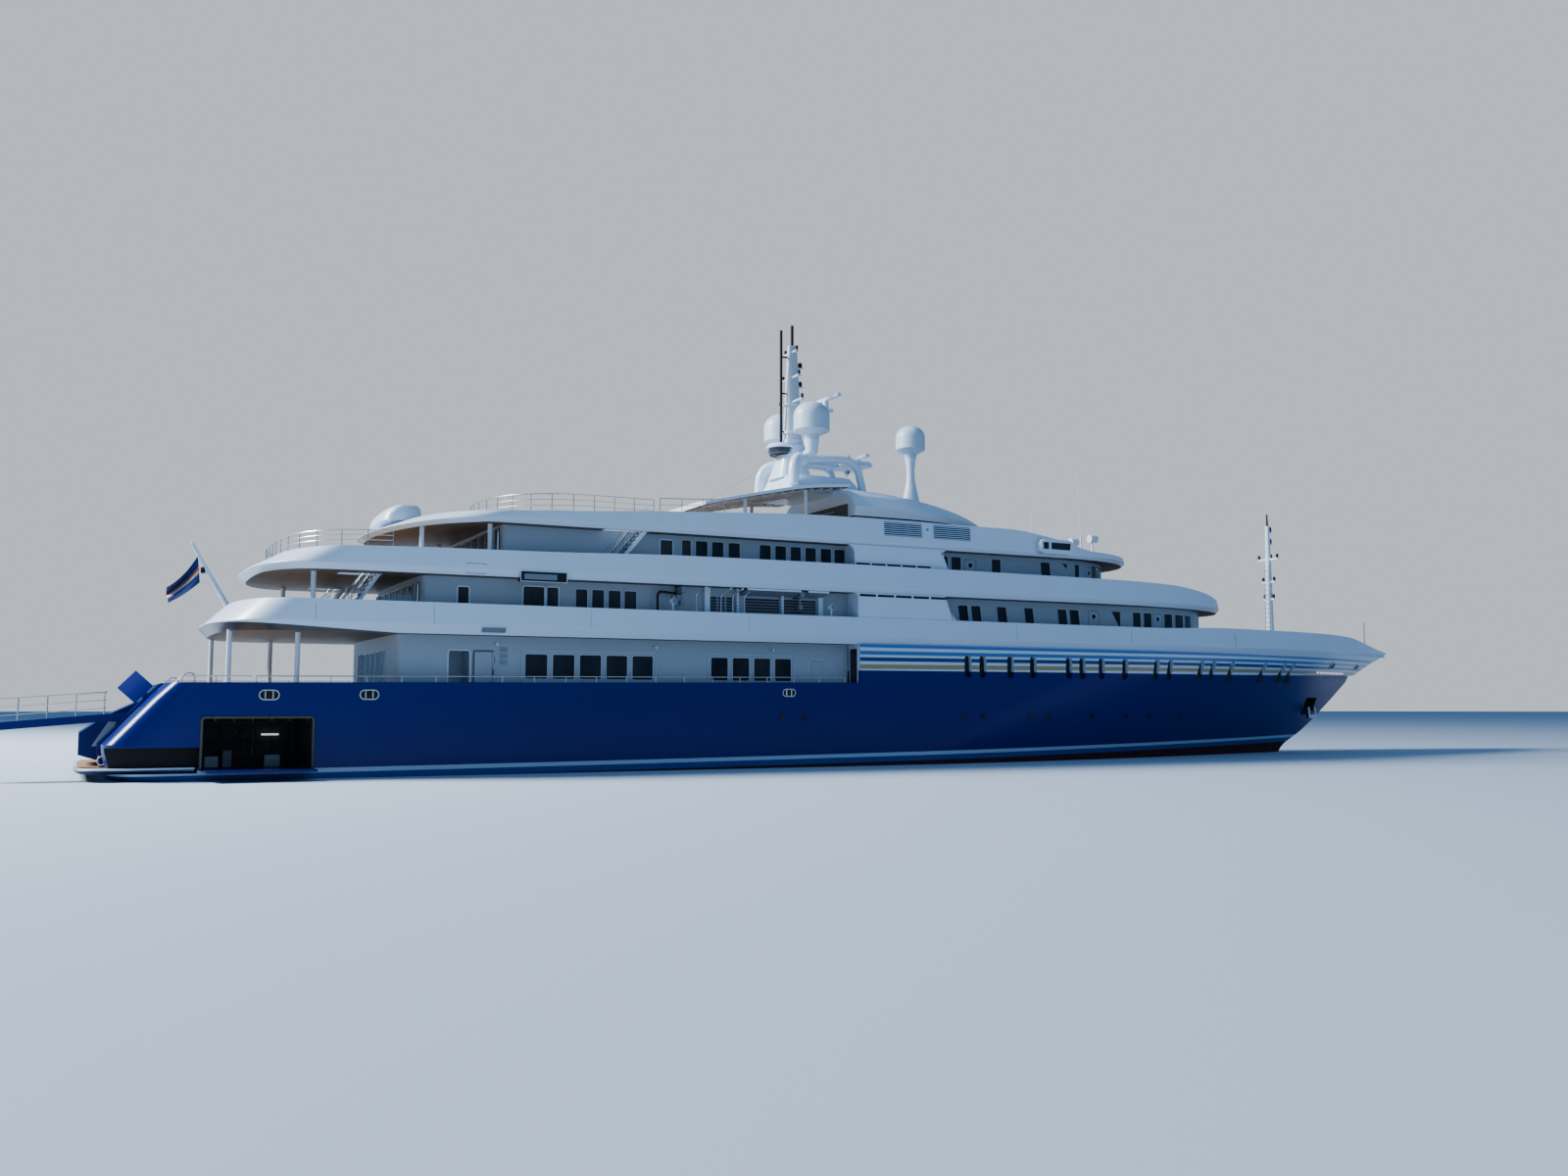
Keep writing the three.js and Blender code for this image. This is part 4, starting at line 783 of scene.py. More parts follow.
def brushed(name, colour, roughness=0.2, metallic=1.0):
    """Metal with fine brushing and dull finger marks."""
    finish = Finish(name)
    ship = finish.ship()
    grain = finish.noise(finish.stretched(ship, (4.0, 4.0, 60.0)), 1.0, 3.0)
    marks = finish.noise(ship, 1.5, 3.0)
    tone = finish.mix(marks, colour, [c * 0.8 for c in colour])
    return finish.coat(base_color=tone, metallic=metallic, roughness=roughness + marks * 0.12,
                       normal=finish.bump(grain, 0.002))


@cache
def stainless():
    return brushed("stainless", (0.62, 0.64, 0.66))


@cache
def bronze():
    return brushed("bronze", (0.45, 0.27, 0.10), 0.3)


@cache
def black_paint():
    return painted("black_paint", (0.012, 0.013, 0.015), 0.5, 0.7, 0.0, gloss=0.15)


@cache
def grey_paint():
    return painted("grey_paint", (0.16, 0.19, 0.24), 0.45, 0.85, 0.0)


@cache
def mast_paint():
    return painted("mast_paint", (0.50, 0.56, 0.64), 0.35, 0.9, 0.1)


@cache
def radome_paint():
    return painted("radome_paint", (0.45, 0.57, 0.71), 0.38, 0.95, 0.05, 0.02)


@cache
def antifouling():
    return painted("antifouling_paint", paint().antifouling, 0.7, 0.6, 0.0)


@cache
def shaded_house_paint():
    """The houses' matt paint, darkened with painted shade: the walls under the decks show darker than the
    bands.
    """
    return painted("shaded_house_paint", [c * 0.5 for c in paint().white])


# Window frames: white darkened with painted shade, a little lighter than the shaded walls.
@cache
def shaded_frame_paint():
    return painted("shaded_frame_paint", [c * 0.68 for c in paint().white])


@cache
def lid_paint():
    return painted("lid_paint", [c * 3 for c in paint().hull], 0.3, 0.85, 0.1)


@cache
def door_paint():
    """The topsides' blue without the lines at the water, for the garage door that lies open at rest."""
    return painted("door_paint", paint().hull, 0.2, 0.9, 0.0, gloss=0.16)


@cache
def band_paint_with_shade():
    """The upper deck's white over painted shade on its underside: near-black below an edge that falls from
    the stern towards the house.
    """
    finish, colours = Finish("band_paint_with_shade"), paint()
    ship = finish.ship()
    x, y, z = finish.axes(ship)
    patches = finish.noise(ship, 0.35, 3.0)
    white = finish.mix(patches, colours.white, [c * 0.93 for c in colours.white])
    # Painted shade: below this edge the underside is near-black.
    edge = (-32.6 - x) * 0.053 + UPPER_BOTTOM
    colour = finish.mix((z - edge).above(0.0, 0.02), (0.012, 0.014, 0.02), white)
    ripple = finish.noise(ship, 0.6, 2.0)
    return finish.coat(base_color=colour, roughness=0.3 + patches * 0.08, coat_weight=0.2,
                       coat_roughness=0.08, normal=finish.bump(ripple, 0.015, 0.4))


@cache
def bright_lamp():
    """Lit glass, faintly ribbed."""
    finish = Finish("bright_lamp")
    ridges = finish.axes(finish.ship())[2].seam(0.05, 0.02)
    glow = finish.mix(ridges, (1.0, 0.96, 0.88), (0.8, 0.76, 0.7))
    return finish.coat(base_color=glow, roughness=0.3, emission_color=glow, emission_strength=0.9)


@cache
def dark_lining():
    """Inside of the tender garage: dark panels with ribs."""
    finish = Finish("garage_lining")
    ship = finish.ship()
    x, y, z = finish.axes(ship)
    ribs = x.seam(0.8, 0.06).math("MAXIMUM", z.seam(0.8, 0.04))
    colour = finish.mix(ribs, (0.02, 0.02, 0.022), (0.006, 0.006, 0.007))
    return finish.coat(base_color=colour, roughness=0.55 + finish.noise(ship, 2.0) * 0.2,
                       normal=finish.bump(1 - ribs, 0.02))


# Hull

KEEL, MAIN_FLOOR, STEP_X, BLUE_TOP, UPPER_BOTTOM = -3.9, 3.85, -7.05, 5.42, 6.85
UPPER_FLOOR, BRIDGE_FLOOR, SUN_FLOOR, BRIDGE_BOTTOM, SUN_BOTTOM = 7.2, 10.15, 12.95, 9.8, 12.6
HALF_BEAM = 7.2
WATERLINES = [
    # z, aft, fore, half, aft run, aft power, fore run, fore power
    (KEEL, -18, 28.5, 2.2, 16, 1.5, 26, 1.2),
    (-3.6, -21.5, 30.5, 4.6, 18, 1.6, 30, 1.25),
    (-2.9, -26.5, 32.2, 6.1, 20, 1.8, 34, 1.3),
    (-2.0, -33.0, 32.9, 6.8, 20, 2.2, 36, 1.35),
    (-1.1, -39.5, 33.1, 7.05, 16, 2.8, 36, 1.4),
    (-0.45, -44.0, 33.2, 7.12, 9, 4, 36, 1.45),
    (0.347, -45.2, 33.7, 7.15, 4, 6, 36, 1.5),
    (1.6, -45.4, 35.9, 7.18, 3.5, 7, 36, 1.65),
    (MAIN_FLOOR, -43.4, 39.1, HALF_BEAM, 3, 7, 35, 1.85),
    (4.7, -42.55, 40.2, HALF_BEAM, 3, 7, 34, 1.95),
    (BLUE_TOP, -41.9, 41.2, HALF_BEAM, 3, 7, 33, 2.05),
    (UPPER_BOTTOM - GAP, -40.5, 44.1, HALF_BEAM, 3, 7, 33, 2.25),
]
hull_lines = [
    (straight if column in (1, 4, 5) else flowing)([(row[0], row[column]) for row in WATERLINES])
    for column in range(1, 8)
]
blue_edge = flowing([(STEP_X, 5.37), (21, 5.47), (39, 5.67)])
BULWARK = [(-43, 4.4), (-8, 4.67)]
bulwark_top = straight(BULWARK)


def waterline(z):
    return Plan(*[float(line(z)) for line in hull_lines], fine=True)


def hull_breadth(x, z):
    """The hull's half breadth at arrays of x and z, from the waterlines' formulas."""
    aft, fore, half, aft_run, aft_power, fore_run, fore_power = [line(z) for line in hull_lines]
    stem = fine_end(np.clip((fore - x) / fore_run, 0, 1), fore_power)
    stern = round_end(np.clip((x - aft) / aft_run, 0, 1), aft_power)
    return half * np.minimum(stem, stern)


def hull_normal(points, small=0.02):
    """The gradient of |y| - breadth(x, z), by differences over small steps."""
    x, y, z = np.moveaxis(points, -1, 0)
    slope_x = (hull_breadth(x + small, z) - hull_breadth(x - small, z)) / (2 * small)
    slope_z = (hull_breadth(x, z + small) - hull_breadth(x, z - small)) / (2 * small)
    normal = np.stack([-slope_x, np.where(y > 0, 1.0, -1.0), -slope_z], -1)
    return normal / np.linalg.norm(normal, axis=-1, keepdims=True)


def on_hull(u, z, off):
    """The placing function of the hull's starboard side: u is x."""
    u, z = np.broadcast_arrays(np.asarray(u, float), np.asarray(z, float))
    skin_points = np.stack([u, -hull_breadth(u, z), z], -1)
    return skin_points + hull_normal(skin_points) * np.asarray(off, float)[..., None]


SLOTS = [0.35, 1.42, 3.45, 5.15, 7.9, 8.95, 10.5, 12.45, 15.2, 16.45, 19.45, 20.65, 22.65, 26.4, 28.9, 30.1]
SLOT = {"half": 0.25, "low": 5.02, "high": 6.36}
PORTHOLES = [-12.0, -10.62, 0.03, 1.39, 4.94, 6.37, 10.06, 13.21, 15.47, 18.69]
GARAGE = {"aft": -41.2, "fore": -36.5, "sill": 0.42, "head": 2.8, "back": 1.6}
PASSERELLE = {
    "y": -3.4, "half": 0.45, "slot": 0.6, "notch": 0.56, "x": -43.2, "z": 3.0, "drop": 4.6, "end": -51.0}
STERN_STAIR = {"inner": 4.5, "outer": 5.9, "top": -42.0, "foot": -44.95}
ANCHOR = {"x": 35.6, "z": 3.35}
# Where the knuckle of the stern lid's hinge passes from open to shut
LID_KNUCKLE = (-43.339, -4.06, 3.945), (-43.556, -4.06, 3.710)
PLATFORM = {"bottom": 0.35, "top": 0.6, "aft": -46.3, "fore": -41.35, "half": 6.75}


def slot_tools(finish):
    """One capsule-shaped block for each of the hull's tall windows, on both sides."""
    tools = []
    for x in SLOTS:
        skin_y = -on_hull(x, 5.7, 0)[1]
        span, heights = (x - SLOT["half"], x + SLOT["half"]), (SLOT["low"], SLOT["high"])
        front, back = skin_y + 1.2, skin_y - fit().slot_depth
        block = pane(flat_wall(0), span, heights, SLOT["half"] - 0.001, front, back, finish=finish)
        tools.append(block.mirrored())
    return tools


def hull_tools():
    """Everything that is open in the hull. Finish 1 is white paint, 2 teak, 3 the garage's, 4 black."""
    above = prism(
        [(-50, bulwark_top(-50)), *BULWARK, (STEP_X, bulwark_top(STEP_X)), (STEP_X, 9), (-50, 9)], 1, -9, 9)
    base = waterline(MAIN_FLOOR)
    well = replace(base, fine=False, aft=-42.35, fore=STEP_X, fore_run=0.4, fore_power=8,
                   half=base.half - DECK_WALL)
    room = skin([ring(well, MAIN_FLOOR), ring(replace(well, half=well.half + 0.03), 6)], [1], (2, 1))
    y, slot, x, z = (PASSERELLE[key] for key in ("y", "slot", "x", "z"))
    platform = boxes((-48, -8, PLATFORM["bottom"] - GAP), (PLATFORM["fore"] + GAP, 8, PLATFORM["top"] + GAP))
    gangway = boxes((-48, y - slot, z - PASSERELLE["notch"]), (x + 0.75, y + slot, z + 0.3))
    lid = boxes((-48, y - slot, z + 0.2), (-42.75, y + slot, 6))
    inner, outer, top, foot = (STERN_STAIR[key] for key in ("inner", "outer", "top", "foot"))
    start_z, start_x = PLATFORM["top"], foot - 0.45 + (PLATFORM["top"] - 0.2) * (top + 1.05 - foot) / 3.1
    stairs = prism([(start_x, start_z), (top + 0.6, 3.3), (top + 0.6, 6), (-48, 6), (-48, start_z)],
                   1, -outer - GAP, -inner + GAP).mirrored()
    low, high, sill, garage_top = (GARAGE[key] for key in ("aft", "fore", "sill", "head"))
    garage = boxes((low, -8, sill), (high, -GARAGE["back"], garage_top), 3).mirrored()
    undercut = boxes((-48, -8, PLATFORM["top"] + GAP), (-41.3, -6.3, 1.5), 4).mirrored()
    x, z = ANCHOR["x"], ANCHOR["z"]
    pocket = boxes((x - 0.9, -6, z - 0.6), (x + 0.9, -0.35, z + 0.65), 4).mirrored()
    knuckle_room = rods(*LID_KNUCKLE, 0.11, sides=12)
    return [above, room, platform, gangway, lid, stairs, garage, undercut, pocket, knuckle_room]


class YACHT_OT_hull(bpy.types.Operator):
    """Hull from faired waterlines, with its decks, garage, stern and windows cut"""

    bl_idname = "yacht.hull"
    bl_label = "Hull"

    def execute(self, context):
        heights = np.concatenate([
            np.linspace(KEEL, -2.0, 10), np.linspace(-2.0, 0.347, 10)[1:], np.linspace(0.347, 5.2, 16)[1:]])
        rings = [ring(waterline(z), z) for z in heights] + [ring(waterline(BLUE_TOP), blue_edge)]
        finishes = [hull_paint(), white_paint(), teak(), dark_lining(), black_paint()]
        hull = piece("hull_plating", skin(rings), finishes, slot="hull_blue", stands_for=["hull"])
        radii, lengths = np.sin(np.linspace(0.02, 3.12, 20)), -5.2 * np.cos(np.linspace(0, np.pi, 20))
        bulb = lathe(np.stack([radii, lengths], 1), (31.6, 0, -2.45), 24, axis=0)
        outline = [(-42.4, 4.2), (-45.0, 2.9), (-46.1, 2.1), (-46.1, 1.1), (-44.6, 0.62), (-42.4, 0.62)]
        block = prism(outline, 1, -2.6, 2.6)
        carve(hull, [bulb, block], "UNION")
        carve(hull, hull_tools() + slot_tools(0), exact=hull_normal)
        return {"FINISHED"}


class YACHT_OT_topsides(bpy.types.Operator):
    """Striped topsides forward, with tall windows let into them"""

    bl_idname = "yacht.topsides"
    bl_label = "Striped Topsides"

    def execute(self, context):
        heights = np.linspace(5.75, UPPER_BOTTOM - GAP, 6)
        base = ring(waterline(BLUE_TOP), lambda x: blue_edge(x) + GAP)
        rings = [base] + [ring(waterline(z), z) for z in heights]
        finishes = [striped_paint(), white_paint()]
        sides = piece("striped_topsides", skin(rings), finishes, slot="striped_paint",
                      stands_for=["forward_topsides"])
        carve(sides, [boxes((-60, -9, 5), (STEP_X, 9, 9), 1)] + slot_tools(1), exact=hull_normal)
        glass = Shape()
        for x in SLOTS:
            place = flat_wall(-on_hull(x, 5.7, 0)[1] - fit().slot_depth)
            span = (x - SLOT["half"] - 0.03, x + SLOT["half"] + 0.03)
            heights = (SLOT["low"] - 0.03, SLOT["high"] + 0.03)
            glass.join(pane(place, span, heights, SLOT["half"], 0.04, -0.03))
        piece("hull_window_glass", glass.mirrored(), [tinted_glass()])
        return {"FINISHED"}


# Decks

upper_top = flowing([
    (-42, 8.3), (-37, 8.38), (15, 8.38), (22, 8.55), (33, 8.55), (37, 8.45), (40, 8.1), (43, 7.72),
    (45.8, 7.52)])
bridge_top = flowing([
    (-39, 10.7), (-37.5, 10.83), (-33, 11.03), (-25, 11.16), (-17.7, 11.35), (-7, 11.4), (12, 11.36),
    (17, 11.3), (20.8, 11.05), (25.7, 10.45)])
sun_top = flowing([
    (-33.4, 12.45), (-31, 13.0), (-25, 13.33), (-17.5, 13.79), (-7.8, 14.16), (4, 14.16), (7.5, 13.75),
    (10.8, 13.15), (16.6, 13.1)])
sun_bottom = flowing([(-33.4, 12.05), (-31, 12.35), (-29, 12.52), (-28, SUN_BOTTOM), (-26, SUN_BOTTOM)])

UPPER_PLAN = Plan(-40.9, 45.15, HALF_BEAM, 3.6, 3, 33, 2.4, fine=True)
BRIDGE_PLAN = Plan(-39.1, 25.9, 7.1, 3.6, 3, 16, 2.2)
SUN_PLAN = Plan(-33.3, 16.7, 6.7, 5.2, 2.4, 9, 2.3)
DECK_WALL = 0.16


def tray(plan, bottom, knuckle, top, floor, rake, chamfer, flare=None):
    """A deck: a soffit, a side whose knuckle is rounded, a bulwark and a floor inside it.

    The rounding is a quadratic curve between the loops under and over the knuckle, drawn towards it.
    Finish 0 is white paint, 1 the soffit and 2 teak.
    """
    below, beyond = flare or (chamfer, -0.6 * DECK_WALL)
    low = replace(plan.inset(chamfer), aft=plan.aft + chamfer * 2, fore=plan.fore - below)
    high = replace(plan.inset(DECK_WALL * 0.6), aft=plan.aft + rake, fore=plan.fore + beyond)
    inner = replace(high.inset(DECK_WALL), aft=high.aft + DECK_WALL)
    loops = [ring(low, bottom), ring(plan, knuckle), ring(high, top)]
    start, end = loops[0] * 0.15 + loops[1] * 0.85, loops[1] * 0.93 + loops[2] * 0.07
    rounding = [
        start * (1 - t) ** 2 + loops[1] * 2 * t * (1 - t) + end * t ** 2 for t in np.linspace(0, 1, 6)]
    lip = loops[2] * 0.97 + loops[1] * 0.03
    outside = [loops[0], *rounding, lip, loops[2]]
    rings = outside + [ring(inner, top), ring(inner, lambda x: np.full_like(x, floor))]
    return skin(rings, [0] * (len(rings) - 1), (1, 2))


STAIRS = {
    "bridge": {"foot": -35.2, "head": -33.2, "y": 4.9, "half": 0.4,
               "from": UPPER_FLOOR, "to": BRIDGE_FLOOR, "steps": 12},
    "sun": {"foot": -22.0, "head": -19.6, "y": 6.02, "half": 0.3,
            "from": BRIDGE_FLOOR, "to": SUN_FLOOR, "steps": 12},
}


def stair_well(name):
    stair = STAIRS[name]
    reach = stair["half"] + 0.05
    low = (stair["foot"], -stair["y"] - reach, stair["to"] - 1)
    return boxes(low, (stair["head"] + GAP, -stair["y"] + reach, stair["to"] + 0.5)).mirrored()


class YACHT_OT_decks(bpy.types.Operator):
    """Three decks with rounded bands, bulwarks and laid floors, and the columns between them"""

    bl_idname = "yacht.decks"
    bl_label = "Decks"

    def execute(self, context):
        finishes = [white_paint(), shaded_soffit_paint(), teak()]
        upper = tray(UPPER_PLAN, UPPER_BOTTOM, 7.3, upper_top, UPPER_FLOOR, 1.1, 0.22, (0.9, 0.6))
        bridge = tray(BRIDGE_PLAN, BRIDGE_BOTTOM, 10.1, bridge_top, BRIDGE_FLOOR, 1.3, 0.2)
        sun = tray(SUN_PLAN, sun_bottom, lambda x: sun_bottom(x) + 0.22, sun_top, SUN_FLOOR, 1.6, 0.2)
        upper_finishes = [band_paint_with_shade(), *finishes[1:]]
        piece("upper_deck_band", upper, upper_finishes, slot="white_paint", stands_for=["upper_deck"])
        for name, deck in (("bridge", bridge), ("sun", sun)):
            made = piece(f"{name}_deck_band", deck, finishes, slot="white_paint",
                         stands_for=[f"{name}_deck"])
            carve(made, [stair_well(name)])
        columns = Shape()
        for x, y, low, high in (
                (-40.0, 4.8, MAIN_FLOOR, 7.0), (-37.0, 5.2, MAIN_FLOOR, 7.0),
                (-36.4, 5.4, UPPER_FLOOR, 9.9), (-31.2, 4.9, BRIDGE_FLOOR, 12.45),
                (-27.9, 5.5, BRIDGE_FLOOR, 12.65)):
            foot = [(0.19, 0), (0.19, 0.05), (0.13, 0.08), (0.12, 0.12), (0.12, high - low)]
            columns.join(lathe(foot, (x, -y, low + GAP), 20))
        piece("deck_columns", columns.mirrored(), [white_paint()], slot="white_paint")
        return {"FINISHED"}


def flight(stair):
    """Starboard stairs: a string along each edge of the slope, a tread for each step, rails of two bars."""
    foot, head, y, half, low, high, steps = stair.values()
    slope, string_height = (high - low) / (head - foot), 0.3
    string = [(foot, low + GAP), (foot + string_height / slope, low + GAP),
              (head - GAP, high - string_height), (head - GAP, high - GAP)]
    x = foot + (np.arange(steps) + 0.6) * (head - foot) / steps
    z = low + (x - foot) * slope
    shape = boxes(spread(x - 0.13, -half - y, z - 0.05), spread(x + 0.13, half - y, z), GREY)
    for side in (-half, half):
        shape.join(prism(string, 1, side - y - 0.04, side - y + 0.04, WHITE))
        for rise, radius in ((0.95, 0.03), (0.5, 0.018)):
            ends = [foot, side - y, low + rise], [head, side - y, high + rise]
            shape.join(rods(*ends, radius, sides=8, finish=STEEL))
        feet = spread(x[::3], side - y, z[::3])
        shape.join(rods(feet, feet + [0, 0, 0.95], 0.022, finish=STEEL))
    return shape


class YACHT_OT_stairs(bpy.types.Operator):
    """Stairs between the open decks aft"""

    bl_idname = "yacht.stairs"
    bl_label = "Stairs"

    def execute(self, context):
        for name, stair in STAIRS.items():
            nodes = [f"{name}_deck_stair_{side}" for side in ("starboard", "port")]
            fitting(f"{name}_deck_flights", flight(stair).mirrored(), slot="white_paint", stands_for=nodes)
        return {"FINISHED"}


# Houses

MAIN_HOUSE_SIDE = 6.0
UPPER_HOUSE = Plan(-31.4, 23.8, 5.8, 0.5, 6, 9, 2.2)
BRIDGE_HOUSE = Plan(-27.4, 14.8, 5.6, 0.5, 6, 7, 2.4)
DAVIT = {"places": (-17.6, -10.4), "bottom": 9.42, "inner": -0.8, "width": 0.32}


def house(plan, bottom, top):
    return skin([ring(plan, z) for z in np.linspace(bottom, top, 3)])


class YACHT_OT_houses(bpy.types.Operator):
    """Houses of the upper and the bridge deck, with smooth round fronts"""

    bl_idname = "yacht.houses"
    bl_label = "Houses"

    def execute(self, context):
        finishes = [shaded_house_paint(), grey_paint()]
        walls = house(UPPER_HOUSE, UPPER_FLOOR + GAP, BRIDGE_BOTTOM - GAP)
        upper = piece("upper_house_walls", walls, finishes, slot="white_paint",
                      stands_for=["upper_deck_house"])
        half, bottom, inner = DAVIT["width"] / 2 + 0.06, DAVIT["bottom"] - 0.06, DAVIT["inner"] + 0.06
        carve(upper, [boxes((x - half, -7, bottom), (x + half, inner, 10), 1).mirrored()
                      for x in DAVIT["places"]])
        walls = house(BRIDGE_HOUSE, BRIDGE_FLOOR + GAP, SUN_BOTTOM - GAP)
        piece("bridge_house_walls", walls, finishes, slot="white_paint", stands_for=["bridge_deck_house"])
        return {"FINISHED"}


# Windows: x from, x to
MAIN_WINDOWS = [
    (-26.1, -24.95), (-24.65, -23.5), (-23.2, -22.05), (-21.75, -20.6), (-20.3, -19.15),
    (-15.75, -14.75), (-14.45, -13.45), (-13.15, -12.15), (-11.85, -10.85)]
UPPER_WINDOWS = [
    (-23.4, -22.78), (-22.51, -21.86), (-21.6, -20.93), (-20.71, -20.04), (0.72, 1.41), (1.67, 2.35),
    (3.58, 4.29), (5.66, 6.34), (8.26, 8.96), (9.2, 9.94), (14.35, 15.01), (15.27, 15.96), (17.17, 17.98),
    (18.3, 19.23), (19.49, 20.3)]
BRIDGE_WINDOWS = [
    (-17.34, -16.82), (-16.52, -15.82), (-15.55, -14.86), (-14.54, -13.85), (-12.62, -11.92),
    (-11.63, -10.95), (-10.66, -10.0), (-9.7, -9.02), (-8.7, -8.02), (-7.8, -7.12), (-0.64, 0.07),
    (0.33, 1.02), (3.32, 3.99), (7.13, 7.86)]


def glazed(place, span, heights, radius=0.08, lean=0.0, glass=None, frames=None):
    """Adds a pane and its frame to the two shapes that gather them."""
    width, stand = fit().frame_width, fit().frame_stand
    glass.join(pane(place, span, heights, radius, stand * 0.3, lean=lean))
    frames.join(surround(place, span, heights, radius, width, stand, lean))


class YACHT_OT_windows(bpy.types.Operator):
    """Rows of dark windows in light frames, round all three houses"""

    bl_idname = "yacht.windows"
    bl_label = "Windows"

    def execute(self, context):
        glass, frames, main = Shape(), Shape(), flat_wall(MAIN_HOUSE_SIDE)
        for span in MAIN_WINDOWS:
            glazed(main, span, (4.74, 5.98), glass=glass, frames=frames)
        for first, last in ((0, 4), (5, 8)):
            span = (MAIN_WINDOWS[first][0] - 0.16, MAIN_WINDOWS[last][1] + 0.16)
            frames.join(surround(main, span, (4.58, 6.14), 0.08, 0.05, 0.05))
        upper, bridge = Wall(UPPER_HOUSE), Wall(BRIDGE_HOUSE)
        for wall, windows, heights, leaning in (
                (upper, UPPER_WINDOWS, (7.95, 9.42), (0, 10)),
                (bridge, BRIDGE_WINDOWS, (10.9, 12.36), (7, 10))):
            for low, high in windows:
                lean = -0.12 if leaning[0] < low < leaning[1] else 0.0
                span = (wall.at(low), wall.at(high))
                glazed(wall.place, span, heights, lean=lean, glass=glass, frames=frames)
        glass.mirrored()
        frames.mirrored()
        for wall, heights, reach, count in ((upper, (7.95, 9.42), 4.6, 8), (bridge, (11.0, 12.4), 6.4, 9)):
            pitch = 2 * reach / count
            for number in range(count):
                start = -reach + number * pitch + 0.07
                glazed(wall.place, (start, start + pitch - 0.14), heights, glass=glass, frames=frames)
        piece("window_glass", glass, [tinted_glass()])
        piece("window_frames", frames, [shaded_frame_paint()], slot="white_paint")
        return {"FINISHED"}


# Rails

RAIL_SIDE, RAIL_RISE = 7.11, 0.28


def rail_on(points, heights, spacing, radius=None, post=None, sides=6):
    """A railing: tubes at the given heights along points of a deck's edge, and posts under the highest."""
    radius, post = radius or fit().rail, post or fit().post
    points = np.asarray(points, float)
    run = np.concatenate([[0], np.cumsum(np.linalg.norm(np.diff(points, axis=0), axis=1))])
    shape = Shape()
    for number, height in enumerate(sorted(heights, reverse=True)):
        shape.join(tube(points + [0, 0, height], radius if number == 0 else radius * 0.6, sides))
    count = max(2, round(run[-1] / spacing) + 1)
    stops = np.linspace(0, run[-1], count)
    feet = np.stack([np.interp(stops, run, points[:, i]) for i in range(3)], 1)
    return shape.join(rods(feet, feet + [0, 0, max(heights)], post, sides=sides))


def stern_line(plan, x_end, height, steps=60):
    """Points of a plan's edge from x_end to starboard round the stern and back to x_end."""
    x, y = plan.side(steps, 30, 30)
    keep = x < x_end
    x, y = np.append(x[keep], x_end), np.append(y[keep], plan.breadth(x_end))
    half = np.stack([x, y, height(x)], 1)
    return np.concatenate([(half * [1, -1, 1])[::-1], half[1:]])


class YACHT_OT_rails(bpy.types.Operator):
    """Stainless rails of the main, bridge and sun decks"""

    bl_idname = "yacht.rails"
    bl_label = "Rails"

    def execute(self, context):
        metal = [stainless()]
        x = np.linspace(-39, -8, 24)
        for side, sign in (("starboard", -1), ("port", 1)):
            points = spread(x, RAIL_SIDE * sign, bulwark_top(x) + GAP)
            piece(f"bulwark_rail_{side}", rail_on(points, [RAIL_RISE], 1.6), metal, slot="stainless",
                  stands_for=[f"main_deck_rail_{side}"])
        cap = replace(BRIDGE_PLAN, aft=BRIDGE_PLAN.aft + 1.3 - 0.096).inset(0.176)
        points = stern_line(cap, -33, lambda x: bridge_top(x) + GAP)
        piece("bridge_aft_rail", rail_on(points, [0.28, 0.52, 0.75], 1.2), metal, slot="stainless",
              stands_for=["bridge_deck_rail"])
        inside = replace(SUN_PLAN, aft=-28.3).inset(1.1)
        points = stern_line(inside, -19, lambda x: np.full_like(x, SUN_FLOOR + GAP))
        piece("sun_aft_rail", rail_on(points, [0.6, 0.9, 1.2, 1.5], 1.1), metal, slot="stainless",
              stands_for=["sun_deck_rail"])
        x = np.linspace(-19.0, -15.2, 5)
        points = spread(x, -6.5, sun_top(x) + GAP)
        piece("sun_side_rails", rail_on(points, [0.35, 0.7], 1.3).mirrored(), metal, slot="stainless")
        pad = [(SUN_FLOOR + GAP, -32.6, -30.5, 2.3), (13.3, -32.5, -30.5, 2.3), (13.65, -32.2, -30.55, 2.2),
               (13.78, -31.9, -30.7, 2.1)]
        fitting("sun_pad_base", pillar(pad, 5, 40, WHITE))
        return {"FINISHED"}


# Fittings in mixed finishes

# SHADED_HOUSE and SHADED_TAN carry painted shade: the houses' white and the deckheads' tan, darkened.
FINISHES = [
    white_paint, black_paint, grey_paint, stainless, tinted_glass, bright_lamp, shaded_soffit_paint, hull_paint,
    teak, shaded_house_paint, dark_lining, mast_paint]
WHITE, BLACK, GREY, STEEL, GLASS, LAMP, SHADED_TAN, BLUE, TEAK, SHADED_HOUSE, LINING, MAST = range(len(FINISHES))


def fitting(name, shape, **options):
    """A piece in the common finishes. It keeps only the ones that it uses."""
    used = np.unique(shape.finishes)
    shape.finishes = list(np.searchsorted(used, shape.finishes))
    return piece(name, shape, [FINISHES[number]() for number in used], **options)


def slats(place, span, heights, pitch, depth=0.05, finish=SHADED_HOUSE):
    """Louvre blades: flat strips whose upper edge is on the wall and whose lower one stands off by depth."""
    shape, across, lift = Shape(), np.linspace(*span, 3)[None, :], np.array([[-0.3], [0.3]]) * pitch
    for z in np.arange(heights[0] + pitch / 2, heights[1], pitch):
        off = np.array([[depth], [0.0]])
        shape.join(shell(place(across, z + lift, off), place(across, z + lift, off - 0.012), finish))
    return shape


def louvre(place, span, heights, pitch=0.13, frame=WHITE, blade=SHADED_HOUSE, back=BLACK):
    """A dark opening behind blades, in a frame."""
    shape = pane(place, span, heights, 0.02, 0.004, finish=back)
    shape.join(slats(place, span, heights, pitch, finish=blade))
    return shape.join(surround(place, span, heights, 0.02, 0.05, 0.05, finish=frame))


